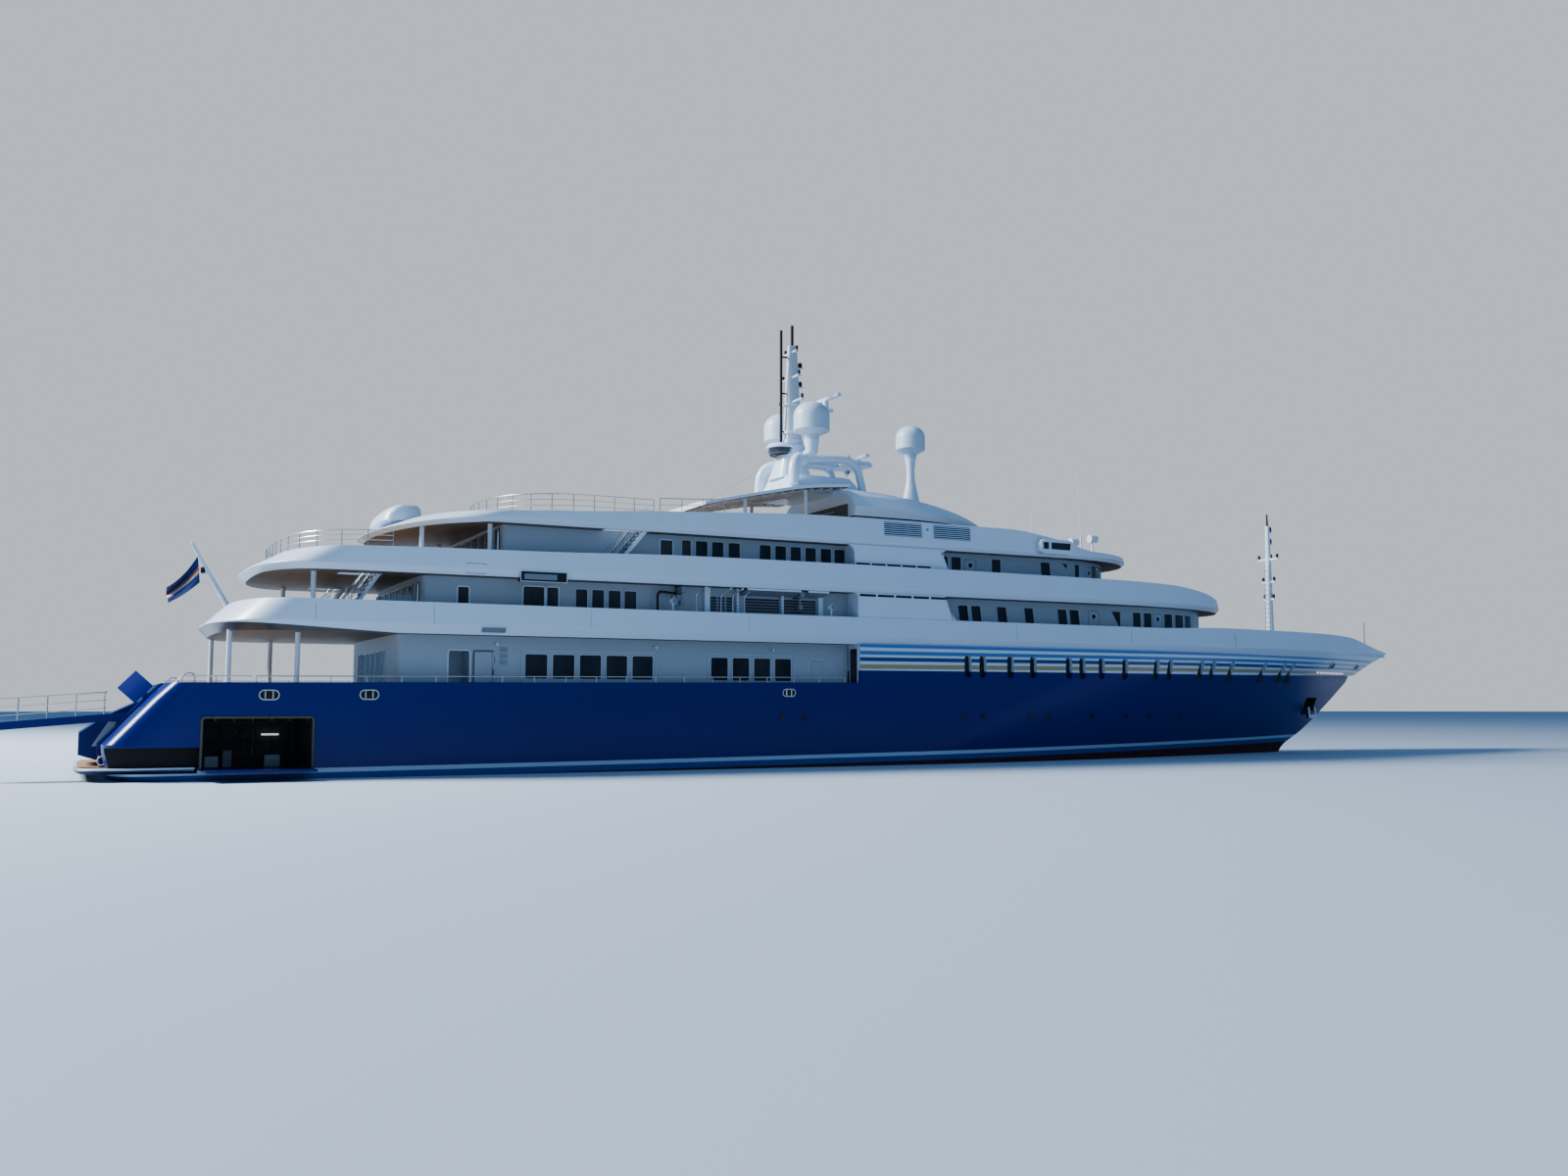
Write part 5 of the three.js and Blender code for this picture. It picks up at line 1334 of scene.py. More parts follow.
def framed(place, span, heights, radius, width, stand, fill=GLASS, frame=WHITE, front=0.012):
    """A pane or the dark of an opening, in its frame."""
    shape = pane(place, span, heights, radius, front, finish=fill)
    return shape.join(surround(place, span, heights, radius, width, stand, finish=frame))


def outlined(place, span, heights, radius=0.12, line=0.022, finish=BLACK):
    """The thin dark joint round a closed door or hatch."""
    return surround(place, span, heights, radius, line, 0.005, finish=finish)


def drum(place, radii, heights, sides, finish=BLACK):
    """A lamp's body: a foot at the place, a side between the first two heights, and a head at the third."""
    foot, side, head = radii
    low, high, top = heights
    return lathe([(foot, 0), (side, low), (side, high), (head, top)], place, sides, finish=finish)


def corner_pane(place, corners, front=0.01, back=-0.02, finish=GLASS):
    """A flat plate with straight edges through corners (distance, height), anticlockwise from outside."""
    u, z = np.array(corners, float).T
    return loft([place(u, z, back), place(u, z, front)], finish, (finish, finish))


def band_side(half, chamfer, bottom, knuckle, top):
    """The placing function of a deck band amidships: straight between its lower edge, knuckle and top."""
    breadths = [half - chamfer, half, half - 0.6 * DECK_WALL]
    return lambda u, z, off: spread(u, -np.interp(z, [bottom, knuckle, top], breadths) - off, z)


def spotlight(place, aim, size=0.2):
    """A drum lamp on a short bracket, turned towards a direction."""
    place, aim = np.array(place, float), np.array(aim, float) / np.linalg.norm(aim)
    shape = rods(place - aim * size, place + aim * size * 0.8, size * 0.75, size, 16, WHITE)
    shape.join(rods(place + aim * size * 0.8, place + aim * size * 0.85, size * 0.86, sides=16, finish=GREY))
    return shape.join(rods(place, place - [0, 0, size * 1.9], size * 0.3, sides=8, finish=WHITE))


def hoop(centre, normal, radius, thickness, finish=STEEL, steps=20):
    """A ring of round bar, square to a direction."""
    normal = np.array(normal, float) / np.linalg.norm(normal)
    across = np.cross(normal, [0, 0, 1.0])
    across /= np.linalg.norm(across)
    other = np.cross(normal, across)
    angle = np.linspace(0, 2 * np.pi, steps, endpoint=False)[:, None]
    path = np.array(centre, float) + radius * (np.cos(angle) * across + np.sin(angle) * other)
    return tube(path, thickness, 8, closed=True, finish=finish)


def fillet(x, z, forward, down, radius, outer, inner, finish=WHITE, steps=8):
    """The web that rounds an opening's corner: between the corner's two edges and a quarter of a circle."""
    angle = np.linspace(0, np.pi / 2, steps)
    arc = np.stack([x + forward * radius * (1 - np.sin(angle)), z + down * radius * (1 - np.cos(angle))], 1)
    return prism(np.concatenate([[[x, z]], arc]), 1, -outer, -inner, finish)


class YACHT_OT_main_fittings(bpy.types.Operator):
    """Doors and louvres of the main-deck house"""

    bl_idname = "yacht.main_fittings"
    bl_label = "Main-deck Fittings"

    def execute(self, context):
        wall = flat_wall(MAIN_HOUSE_SIDE)
        shape = surround(wall, (-30.0, -28.95), (3.95, 6.1), 0.12, 0.05, 0.02, finish=WHITE)
        shape.join(outlined(wall, (-28.77, -27.72), (3.95, 6.12)))
        for z in (5.42, 5.74, 6.06):
            shape.join(slats(wall, (-27.45, -27.02), (z, z + 0.26), 0.065, 0.012, GREY))
        shape.join(outlined(wall, (-9.62, -8.74), (3.95, 5.95), 0.2, finish=WHITE))
        shape.join(outlined(wall, (-9.58, -8.78), (3.99, 5.91), 0.18))
        passage = facing_aft(STEP_X)
        shape.join(framed(passage, (6.12, 6.95), (3.95, 6.6), 0.1, 0.05, 0.05, LINING, front=0.03))
        for x in (-27.6, -19.0, -12.0):
            shape.join(rods([x, -6.02, 6.45], [x, -6.14, 6.45], 0.09, sides=10, finish=STEEL))
        fitting("main_deck_fittings", shape.mirrored())
        return {"FINISHED"}


class YACHT_OT_tender_bay(bpy.types.Operator):
    """Shutters, posts, lamps and the awning box of the tender bay on the upper deck"""

    bl_idname = "yacht.tender_bay"
    bl_label = "Tender Bay"

    def execute(self, context):
        wall, shape = flat_wall(UPPER_HOUSE.half), Shape()
        shutters = [(-15.76, -15.35), (-15.27, -14.86), (-14.77, -14.36), (-13.62, -11.5), (-11.29, -9.16)]
        for span in shutters:
            shape.join(louvre(wall, span, (7.5, 9.31), 0.16, SHADED_HOUSE, GREY))
        foot, head = UPPER_FLOOR + GAP, BRIDGE_BOTTOM - GAP
        for low, high in ((-16.15, -15.84), (-9.08, -8.8)):
            shape.join(boxes((low, -6.05, foot), (high, -5.8, head), WHITE))
        for x in (-14.18, -11.4):
            shape.join(boxes((x - 0.06, -6.1, foot), (x + 0.06, -5.98, head), WHITE))
            holes = spread(x, -6.1, np.linspace(7.6, 9.6, 12))
            shape.join(rods(holes + [0, 0.03, 0], holes - [0, 0.004, 0], 0.03, sides=8, finish=BLACK))
        for x in (-16.78, -15.3, -14.6, -13.9):
            path = bent([(x, -6.3, foot), (x, -6.3, 9.4), (x + 0.42, -6.6, 9.72)], 0.2)
            shape.join(tube(path, 0.035, 8, finish=STEEL))
            shape.join(rods(path[-1], path[-1] + [0.06, -0.08, 0.03], 0.06, sides=10, finish=WHITE))
        awning = [(-6.86, 9.78), (-6.86, 9.68), (-5.9, 9.44), (-5.9, 9.5)]
        davit, clear = DAVIT["places"][1], DAVIT["width"] / 2 + 0.06
        for start, end in ((-13.95, davit - clear), (davit + clear, -8.85)):
            shape.join(prism(awning, 0, start, end, [WHITE, GREY, WHITE, GREY, GREY, GREY]))
        arm = bent([(-19.0, -6.25, foot), (-19.0, -6.25, 9.46), (-17.9, -6.25, 9.36)], 0.3)
        shape.join(tube(arm, 0.07, 8, finish=BLACK))
        shape.join(hoop((-18.05, -6.25, 9.2), (0, 1, 0), 0.13, 0.025, BLACK))
        for x in (-18.27, -8.58):
            shape.join(spotlight((x, -6.62, 8.92), (0.35, -1, 0.1), 0.17))
            shape.join(rods([x, -6.62, 8.38], [x, -6.62, 8.65], 0.05, sides=8, finish=WHITE))
        fitting("tender_bay", shape.mirrored())
        return {"FINISHED"}


class YACHT_OT_upper_fittings(bpy.types.Operator):
    """Doors, ports and glazed aft walls of the upper and the bridge deck"""

    bl_idname = "yacht.upper_fittings"
    bl_label = "Upper Fittings"

    def execute(self, context):
        upper, bridge, shape = Wall(UPPER_HOUSE), Wall(BRIDGE_HOUSE), Shape()
        for wall, spans, heights in (
                (upper, [(-29.55, -29.01)], (7.3, 9.3)),
                (upper, [(-26.2, -25.1), (-24.95, -24.35)], (7.9, 9.45)),
                (bridge, [(-18.6, -17.9)], (10.25, 12.3))):
            for low, high in spans:
                span = (wall.at(low), wall.at(high))
                shape.join(framed(wall.place, span, heights, 0.08, 0.06, 0.03))
        for wall, x, z in (
                (upper, 11.1, 9.05), (upper, 16.55, 9.05), (bridge, 1.72, 11.9), (bridge, 11.34, 11.9)):
            u = wall.at(x)
            shape.join(framed(wall.place, (u - 0.17, u + 0.17), (z - 0.17, z + 0.17), 0.169, 0.04, 0.03))
            shape.join(outlined(wall.place, (u - 0.42, u + 0.42), (z - 1.75, z + 0.35)))
        for wall, low, high, foot, head in (
                (upper, 12.6, 13.28, 8.35, 9.42), (bridge, 8.81, 10.3, 11.1, 12.36)):
            first, last = wall.at(low), wall.at(high)
            shape.join(corner_pane(wall.place, [(first, head), (last, foot), (last, head)], 0.02))
        shape.mirrored()
        for x, reach, floor, leaves in (
                (-32.6, 2.5, MAIN_FLOOR, 4), (-31.4, 4.2, UPPER_FLOOR, 6), (-27.4, 4.2, BRIDGE_FLOOR, 6)):
            place, pitch = facing_aft(x), 2 * reach / leaves
            starts = -reach + np.arange(leaves) * pitch
            spans = [(start + 0.05, start + pitch - 0.05) for start in starts]
            heights = (floor + 0.12, floor + 2.25)
            for span in [*spans, (-reach - 1.0, -reach - 0.4), (reach + 0.4, reach + 1.0)]:
                shape.join(framed(place, span, heights, 0.04, 0.045, 0.04, frame=STEEL))
        fitting("upper_fittings", shape)
        return {"FINISHED"}


class YACHT_OT_band_fittings(bpy.types.Operator):
    """Grilles, hatches and joints let into the deck bands and side panels"""

    bl_idname = "yacht.band_fittings"
    bl_label = "Band Fittings"

    def execute(self, context):
        first = band_side(UPPER_PLAN.half, 0.22, UPPER_BOTTOM, 7.3, 8.38)
        second = band_side(BRIDGE_PLAN.half, 0.2, BRIDGE_BOTTOM, 10.1, 11.2)
        third = band_side(SUN_PLAN.half, 0.2, SUN_BOTTOM, 12.82, 14.16)
        shape = louvre(first, (-28.67, -27.45), (6.97, 7.23), 0.065, WHITE, SHADED_HOUSE, GREY)
        shape.join(outlined(second, (-29.45, -28.48), (9.9, 10.36), 0.04))
        shape.join(boxes((-26.73, -7.13, 9.61), (-24.34, -6.6, 10.1), BLACK))
        shape.join(boxes((-26.55, -7.15, 9.7), (-24.85, -7.0, 9.98), GREY))
        shape.join(surround(flat_wall(7.13), (-26.73, -24.34), (9.61, 10.1), 0.03, 0.03, 0.02, finish=WHITE))
        for low, high in ((-5.08, -2.47), (-1.65, 1.0)):
            shape.join(louvre(third, (low, high), (13.22, 14.04), 0.117, WHITE, WHITE, BLACK))
        shape.join(pane(third, (-2.15, -1.97), (13.65, 13.83), 0.089, 0.03, finish=STEEL))
        for side, low, high, z in ((7.02, -6.95, -0.9, 9.66), (6.66, -6.95, -1.75, 11.49)):
            place, pitch = flat_wall(side), (high - low) / 5
            for number in range(5):
                span = (low + number * pitch, low + (number + 1) * pitch - 0.12)
                shape.join(pane(place, span, (z - 0.07, z + 0.07), 0.02, 0.008, finish=BLACK))
        for x, z, forward, outer, inner, radius in (
                (STEP_X, SUN_BOTTOM, -1, 6.66, 6.5, 0.5), (STEP_X, BRIDGE_BOTTOM, -1, 7.0, 6.86, 0.22),
                (-1.1, SUN_BOTTOM, 1, 6.66, 6.5, 0.5), (-0.55, 8.42, 1, 7.02, 6.86, 0.35)):
            edge, down = (z - GAP, -1) if z > 9 else (z, 1)
            shape.join(fillet(x + 0.01 * forward, edge, forward, down, radius, outer, inner))
        for x in (-36.5, -31.0, -23.0, -14.0, 4.0, 13.0, 22.0):
            shape.join(outlined(first, (x, x + 0.012), (7.32, 8.2), 0.005, 0.006, GREY))
        fitting("band_fittings", shape.mirrored())
        return {"FINISHED"}


class YACHT_OT_hull_fittings(bpy.types.Operator):
    """Fairleads, portholes, the bow's lamps and the frame of the open garage"""

    bl_idname = "yacht.hull_fittings"
    bl_label = "Hull Fittings"

    def execute(self, context):
        shape = Shape()
        for x, z, reach, rise in (
                (-38.44, 3.85, 0.40, 0.19), (-33.99, 3.88, 0.40, 0.19), (-11.6, 4.08, 0.36, 0.17),
                (36.06, 6.35, 0.32, 0.2), (41.1, 6.35, 0.28, 0.18)):
            span, heights = (x - reach, x + reach), (z - rise, z + rise)
            shape.join(framed(on_hull, span, heights, rise - 0.01, 0.05, 0.06, BLACK, STEEL, 0.02))
            for at in (x - reach * 0.42, x + reach * 0.42):
                low, high = on_hull(at, z - rise * 0.9, 0.03), on_hull(at, z + rise * 0.9, 0.03)
                shape.join(rods(low, high, 0.045, sides=10, finish=STEEL))
        for x in PORTHOLES:
            span = (x - 0.17, x + 0.17)
            shape.join(framed(on_hull, span, (2.58, 2.92), 0.169, 0.035, 0.025, frame=BLUE))
        for x in np.linspace(34.4, 39.0, 9):
            shape.join(pane(on_hull, (x - 0.17, x + 0.17), (5.79, 5.87), 0.03, 0.03, finish=LAMP))
        low, high, sill, head = GARAGE["aft"], GARAGE["fore"], GARAGE["sill"], GARAGE["head"]
        y, foot = -7.235, sill + 0.17
        path = bent([(low - 0.03, y, foot), (low - 0.03, y, head + 0.03), (high + 0.03, y, head + 0.03),
                     (high + 0.03, y, foot)], 0.16)
        shape.join(tube(path, 0.055, 8, finish=SHADED_TAN))
        shape.join(hoop((-45.16, -5.72, 0.93), (-0.6, -1, 0), 0.19, 0.035))
        fitting("hull_fittings", shape.mirrored())
        return {"FINISHED"}


class YACHT_OT_garage(bpy.types.Operator):
    """What stands in the tender garages: a rack, chests and a strip lamp"""

    bl_idname = "yacht.garage"
    bl_label = "Garage"

    def execute(self, context):
        back, sill, head = -GARAGE["back"] - 0.1, GARAGE["sill"] + GAP, GARAGE["head"]
        shape = Shape()
        for low, high, rise, finish in (
                (-40.7, -40.1, 0.5, SHADED_HOUSE), (-38.0, -37.3, 0.55, SHADED_HOUSE), (-39.9, -39.5, 0.8, GREY)):
            shape.join(boxes((low, back - 0.8, sill), (high, back - 0.1, sill + rise), finish))
        for x in (-39.3, -38.9, -38.5):
            shape.join(rods([x, back - 0.1, sill], [x, back - 0.1, 2.2], 0.03, sides=8, finish=STEEL))
        for z in (0.9, 1.3, 1.7, 2.1):
            shape.join(rods([-39.4, back - 0.1, z], [-38.4, back - 0.1, z], 0.025, sides=8, finish=STEEL))
        shape.join(boxes((-38.1, back - 0.12, 1.92), (-37.3, back, 2.0), LAMP))
        for x in np.arange(GARAGE["aft"] + 0.5, GARAGE["fore"], 0.8):
            shape.join(boxes((x, -6.9, head - 0.14), (x + 0.08, back, head - GAP), LINING))
        fitting("garage_gear", shape.mirrored())
        return {"FINISHED"}


class YACHT_OT_stern(bpy.types.Operator):
    """Swim platform with its rubbing strake, and the stairs at both sides of the stern"""

    bl_idname = "yacht.stern"
    bl_label = "Stern"

    def execute(self, context):
        plan = Plan(PLATFORM["aft"], PLATFORM["fore"], PLATFORM["half"], 1.6, 4, 0.2, 8)
        bottom, top = PLATFORM["bottom"], PLATFORM["top"]
        rings = [ring(plan.inset(0.12), bottom), ring(plan, bottom + 0.1), ring(plan, top - 0.08),
                 ring(plan, top - 0.02), ring(plan.inset(0.02), top), ring(plan.inset(0.18), top)]
        platform = skin(rings, [BLACK, BLUE, WHITE, WHITE, WHITE], (BLACK, TEAK))
        fitting("swim_platform_deck", platform, slot="teak", stands_for=["swim_platform"])
        inner, outer, head, foot = (STERN_STAIR[key] for key in ("inner", "outer", "top", "foot"))
        count = 13
        rise, run = (MAIN_FLOOR - top) / count, (head - foot) / count
        step = np.arange(count)
        corners = np.stack([foot + step * run, top + (step + 1) * rise, foot + (step + 1) * run], 1)
        corners[-1, 2] = head + 0.6 - GAP
        treads = np.stack([corners[:, [0, 1]], corners[:, [2, 1]]], 1).reshape(-1, 2)
        outline = [(foot, top + GAP), *treads, (head + 0.6 - GAP, 3.3 + 2 * GAP), (foot + 0.02, top + GAP)]
        finishes = [BLUE, TEAK] * count + [BLUE] * 5
        for side, sign in (("starboard", -1), ("port", 1)):
            shape = prism(outline, 1, sign * outer, sign * inner, finishes)
            fitting(f"stern_steps_{side}", shape, slot="teak", stands_for=[f"stern_stair_{side}"])
        rails, line = Shape(), [(x, -RAIL_SIDE, bulwark_top(x) + RAIL_RISE + GAP) for x in (-39.2, -42.1)]
        rails.join(tube(line, 0.03, 8, finish=STEEL))
        for x in (-42.1, -40.7):
            low = np.array([x, -RAIL_SIDE, float(bulwark_top(x))])
            rails.join(rods(low, low + [0, 0, RAIL_RISE], 0.024, finish=STEEL))
        path = [(foot + 0.5, 1.1), (foot + 0.5, 2.0), (head + 0.1, 4.85), (head + 0.5, 4.85),
                (head + 0.5, 4.2)]
        hand = bent([(x, -outer + 0.08, z) for x, z in path], 0.25)
        panel = [(-44.55, 2.62), (-44.9, 2.62), (-45.55, 1.5), (-45.15, 1.5)]
        rails.join(prism(panel, 1, -2.63, -2.6, SHADED_HOUSE))
        fitting("stern_rails", rails.join(tube(hand, 0.03, 8, finish=STEEL)).mirrored(), slot="stainless")
        return {"FINISHED"}


class YACHT_OT_passerelle(bpy.types.Operator):
    """Gangway to the shore: two side beams, a planked deck and a railing of three bars"""

    bl_idname = "yacht.passerelle"
    bl_label = "Passerelle"

    def execute(self, context):
        y, half, pin_x, pin_z, end = (PASSERELLE[key] for key in ("y", "half", "x", "z", "end"))
        slope = math.tan(math.radians(PASSERELLE["drop"]))
        level = lambda x: pin_z - (pin_x - x) * slope
        start = pin_x - 0.15
        beam = [(start, level(start) + 0.14), (start, level(start) - 0.2), (end + 0.6, level(end) - 0.2),
                (end, level(end) - 0.02), (end, level(end) + 0.1)]
        shape = Shape()
        for at in (-half, half):
            shape.join(prism(beam, 1, y + at - 0.06, y + at + 0.06, BLUE))
        planks = np.linspace(start, end, 40)
        for fore, aft in zip(planks, planks[1:]):
            board = [(fore - 0.02, level(fore) + 0.02), (aft, level(aft) + 0.02), (aft, level(aft) - 0.05),
                     (fore - 0.02, level(fore) - 0.05)]
            shape.join(prism(board, 1, y - half + 0.06, y + half - 0.06, GREY))
        shape.join(rods([pin_x, y - 0.147, pin_z], [pin_x, y + 0.147, pin_z], 0.05, sides=16, finish=STEEL))
        low, high = (pin_x - 0.4, y - 0.14, pin_z - 0.05), (pin_x - 0.02, y + 0.14, pin_z + 0.02)
        shape.join(boxes(low, high, STEEL))
        posts = pin_x - 1.9 - 1.15 * np.arange(6)
        for at in (-half, half):
            foot = np.stack([posts, np.full(6, y + at), level(posts) + 0.1], 1)
            shape.join(rods(foot, foot + [0, 0, 1.04], 0.024, sides=8, finish=STEEL))
            for rise in (0.4, 0.77, 1.13):
                ends = [(x, y + at, level(x) + rise) for x in (posts[0] + 0.1, posts[-1] - 0.1)]
                shape.join(rods(*ends, 0.028 if rise > 1 else 0.016, sides=8, finish=STEEL))
        fitting("passerelle_deck", shape, body="passerelle", slot="hull_blue", stands_for=["passerelle"])
        return {"FINISHED"}


HARDTOP = {"aft": -15.1, "fore": -6.1, "half": 4.6, "narrowing": 0.1, "camber": 0.12, "thick": 0.18}
roof_edge = flowing([(-15.1, 14.93), (-11.5, 15.73), (-8.5, 16.28), (-5.9, 16.48)])
FAIRING = {"aft": -5.9, "fore": 6.2, "half": 4.7}
FAIRING_RINGS = [
    # scale, fore, height aft, drop to the nose
    (0.93, 5.9, 12.953, 0.0),
    (0.95, 6.0, 14.3, 0.0),
    (1.0, 6.2, 15.2, 0.75),
    (0.9, 5.95, 15.9, 1.25),
    (0.68, 5.3, 16.4, 1.5),
    (0.3, 4.2, 16.55, 1.55),
]


class YACHT_OT_hardtop(bpy.types.Operator):
    """Curved hardtop with a beamed deckhead, on its posts"""

    bl_idname = "yacht.hardtop"
    bl_label = "Hardtop"

    def execute(self, context):
        aft, fore, camber, thick = (HARDTOP[key] for key in ("aft", "fore", "camber", "thick"))
        half = lambda x: HARDTOP["half"] - HARDTOP["narrowing"] * (fore - x)
        across = np.linspace(-1, 1, 17)
        crown = camber * (1 - across ** 4)
        u = np.concatenate([across, across[::-1][:1] * 1.0, across[::-1]])
        rise = np.concatenate([crown, [-thick * 0.5], np.full(17, -thick)])
        loops = [np.stack([np.full(len(u), x), -u * half(x), roof_edge(x) + rise], 1)
                 for x in np.linspace(aft, fore, 26)]
        # The underside is in the deckheads' tan, darkened with painted shade.
        columns = [WHITE] * 18 + [SHADED_TAN] * 16 + [WHITE]
        shape = loft(loops, columns * 25, (WHITE, WHITE))
        for x in np.arange(aft + 0.5, fore - 0.2, 0.62):
            reach, z = half(x) - 0.35, roof_edge(x) - thick
            shape.join(boxes((x, -reach, z - 0.07), (x + 0.1, reach, z + 0.05), MAST))
        for y in (-3.3, 0.0, 3.3):
            path = [(x, y, roof_edge(x) - thick - 0.04) for x in np.linspace(aft + 0.4, fore - 0.3, 14)]
            shape.join(tube(path, 0.06, 6, finish=MAST))
        for x, y in ((-12.4, 3.3), (-8.6, 3.6)):
            for side in (-y, y):
                foot, head = [x, side, SUN_FLOOR + GAP], [x, side, roof_edge(x) - 0.1]
                shape.join(rods(foot, head, 0.11, sides=20, finish=WHITE))
        fitting("hardtop_roof", shape, slot="white_paint", stands_for=["hardtop"])
        return {"FINISHED"}


class YACHT_OT_fairing(bpy.types.Operator):
    """Long fairing ahead of the hardtop: a flat side, a crisp bevel and a rounded crown"""

    bl_idname = "yacht.fairing"
    bl_label = "Fairing"

    def execute(self, context):
        rows = np.array(FAIRING_RINGS)
        steps = [0, 1, 2, *np.linspace(3, 5, 9)]
        curves = (flowing, straight, flowing, flowing)
        lines = [curve(list(enumerate(column))) for curve, column in zip(curves, rows.T)]
        rings = []
        for step in steps:
            scale, fore, base, drop = [float(line(step)) for line in lines]
            plan = Plan(FAIRING["aft"], fore, FAIRING["half"] * scale, 0.4, 6, 8, 2)
            share = lambda x: np.clip((x - FAIRING["aft"]) / (FAIRING["fore"] - FAIRING["aft"]), 0, None)
            rings.append(ring(plan, lambda x: base - drop * share(x) ** 1.8))
        fitting("fairing_shell", skin(rings, [WHITE] * (len(rings) - 1)), slot="white_paint", sharp=16,
                stands_for=["top_fairing"])
        foot = Plan(FAIRING["aft"] - 0.02, 6.05, FAIRING["half"] * 0.965, 0.4, 6, 8, 2)
        shape = tube(ring(foot, 14.58), 0.05, 6, closed=True, finish=BLACK)
        place = facing_aft(FAIRING["aft"])
        # The aft face under the hardtop is in the deckheads' tan, darkened with painted shade.
        shape.join(pane(place, (-3.9, 3.9), (13.0, 15.4), 0.05, 0.02, finish=SHADED_TAN))
        for number in range(4):
            span = (-2.4 + number * 1.2 + 0.05, -2.4 + (number + 1) * 1.2 - 0.05)
            shape.join(framed(place, span, (13.05, 15.05), 0.04, 0.045, 0.06, frame=STEEL, front=0.035))
        fitting("fairing_trim", shape)
        return {"FINISHED"}


RADOMES = [
    # node, x, y, z of the seat, radius, height of the cylinder part
    ("radome_starboard", -7.3, -2.0, 19.45, 1.1, 0.85),
    ("radome_port", -7.3, 2.0, 19.45, 1.1, 0.85),
    ("radome_forward", 1.1, 0, 19.35, 0.95, 0.75),
]


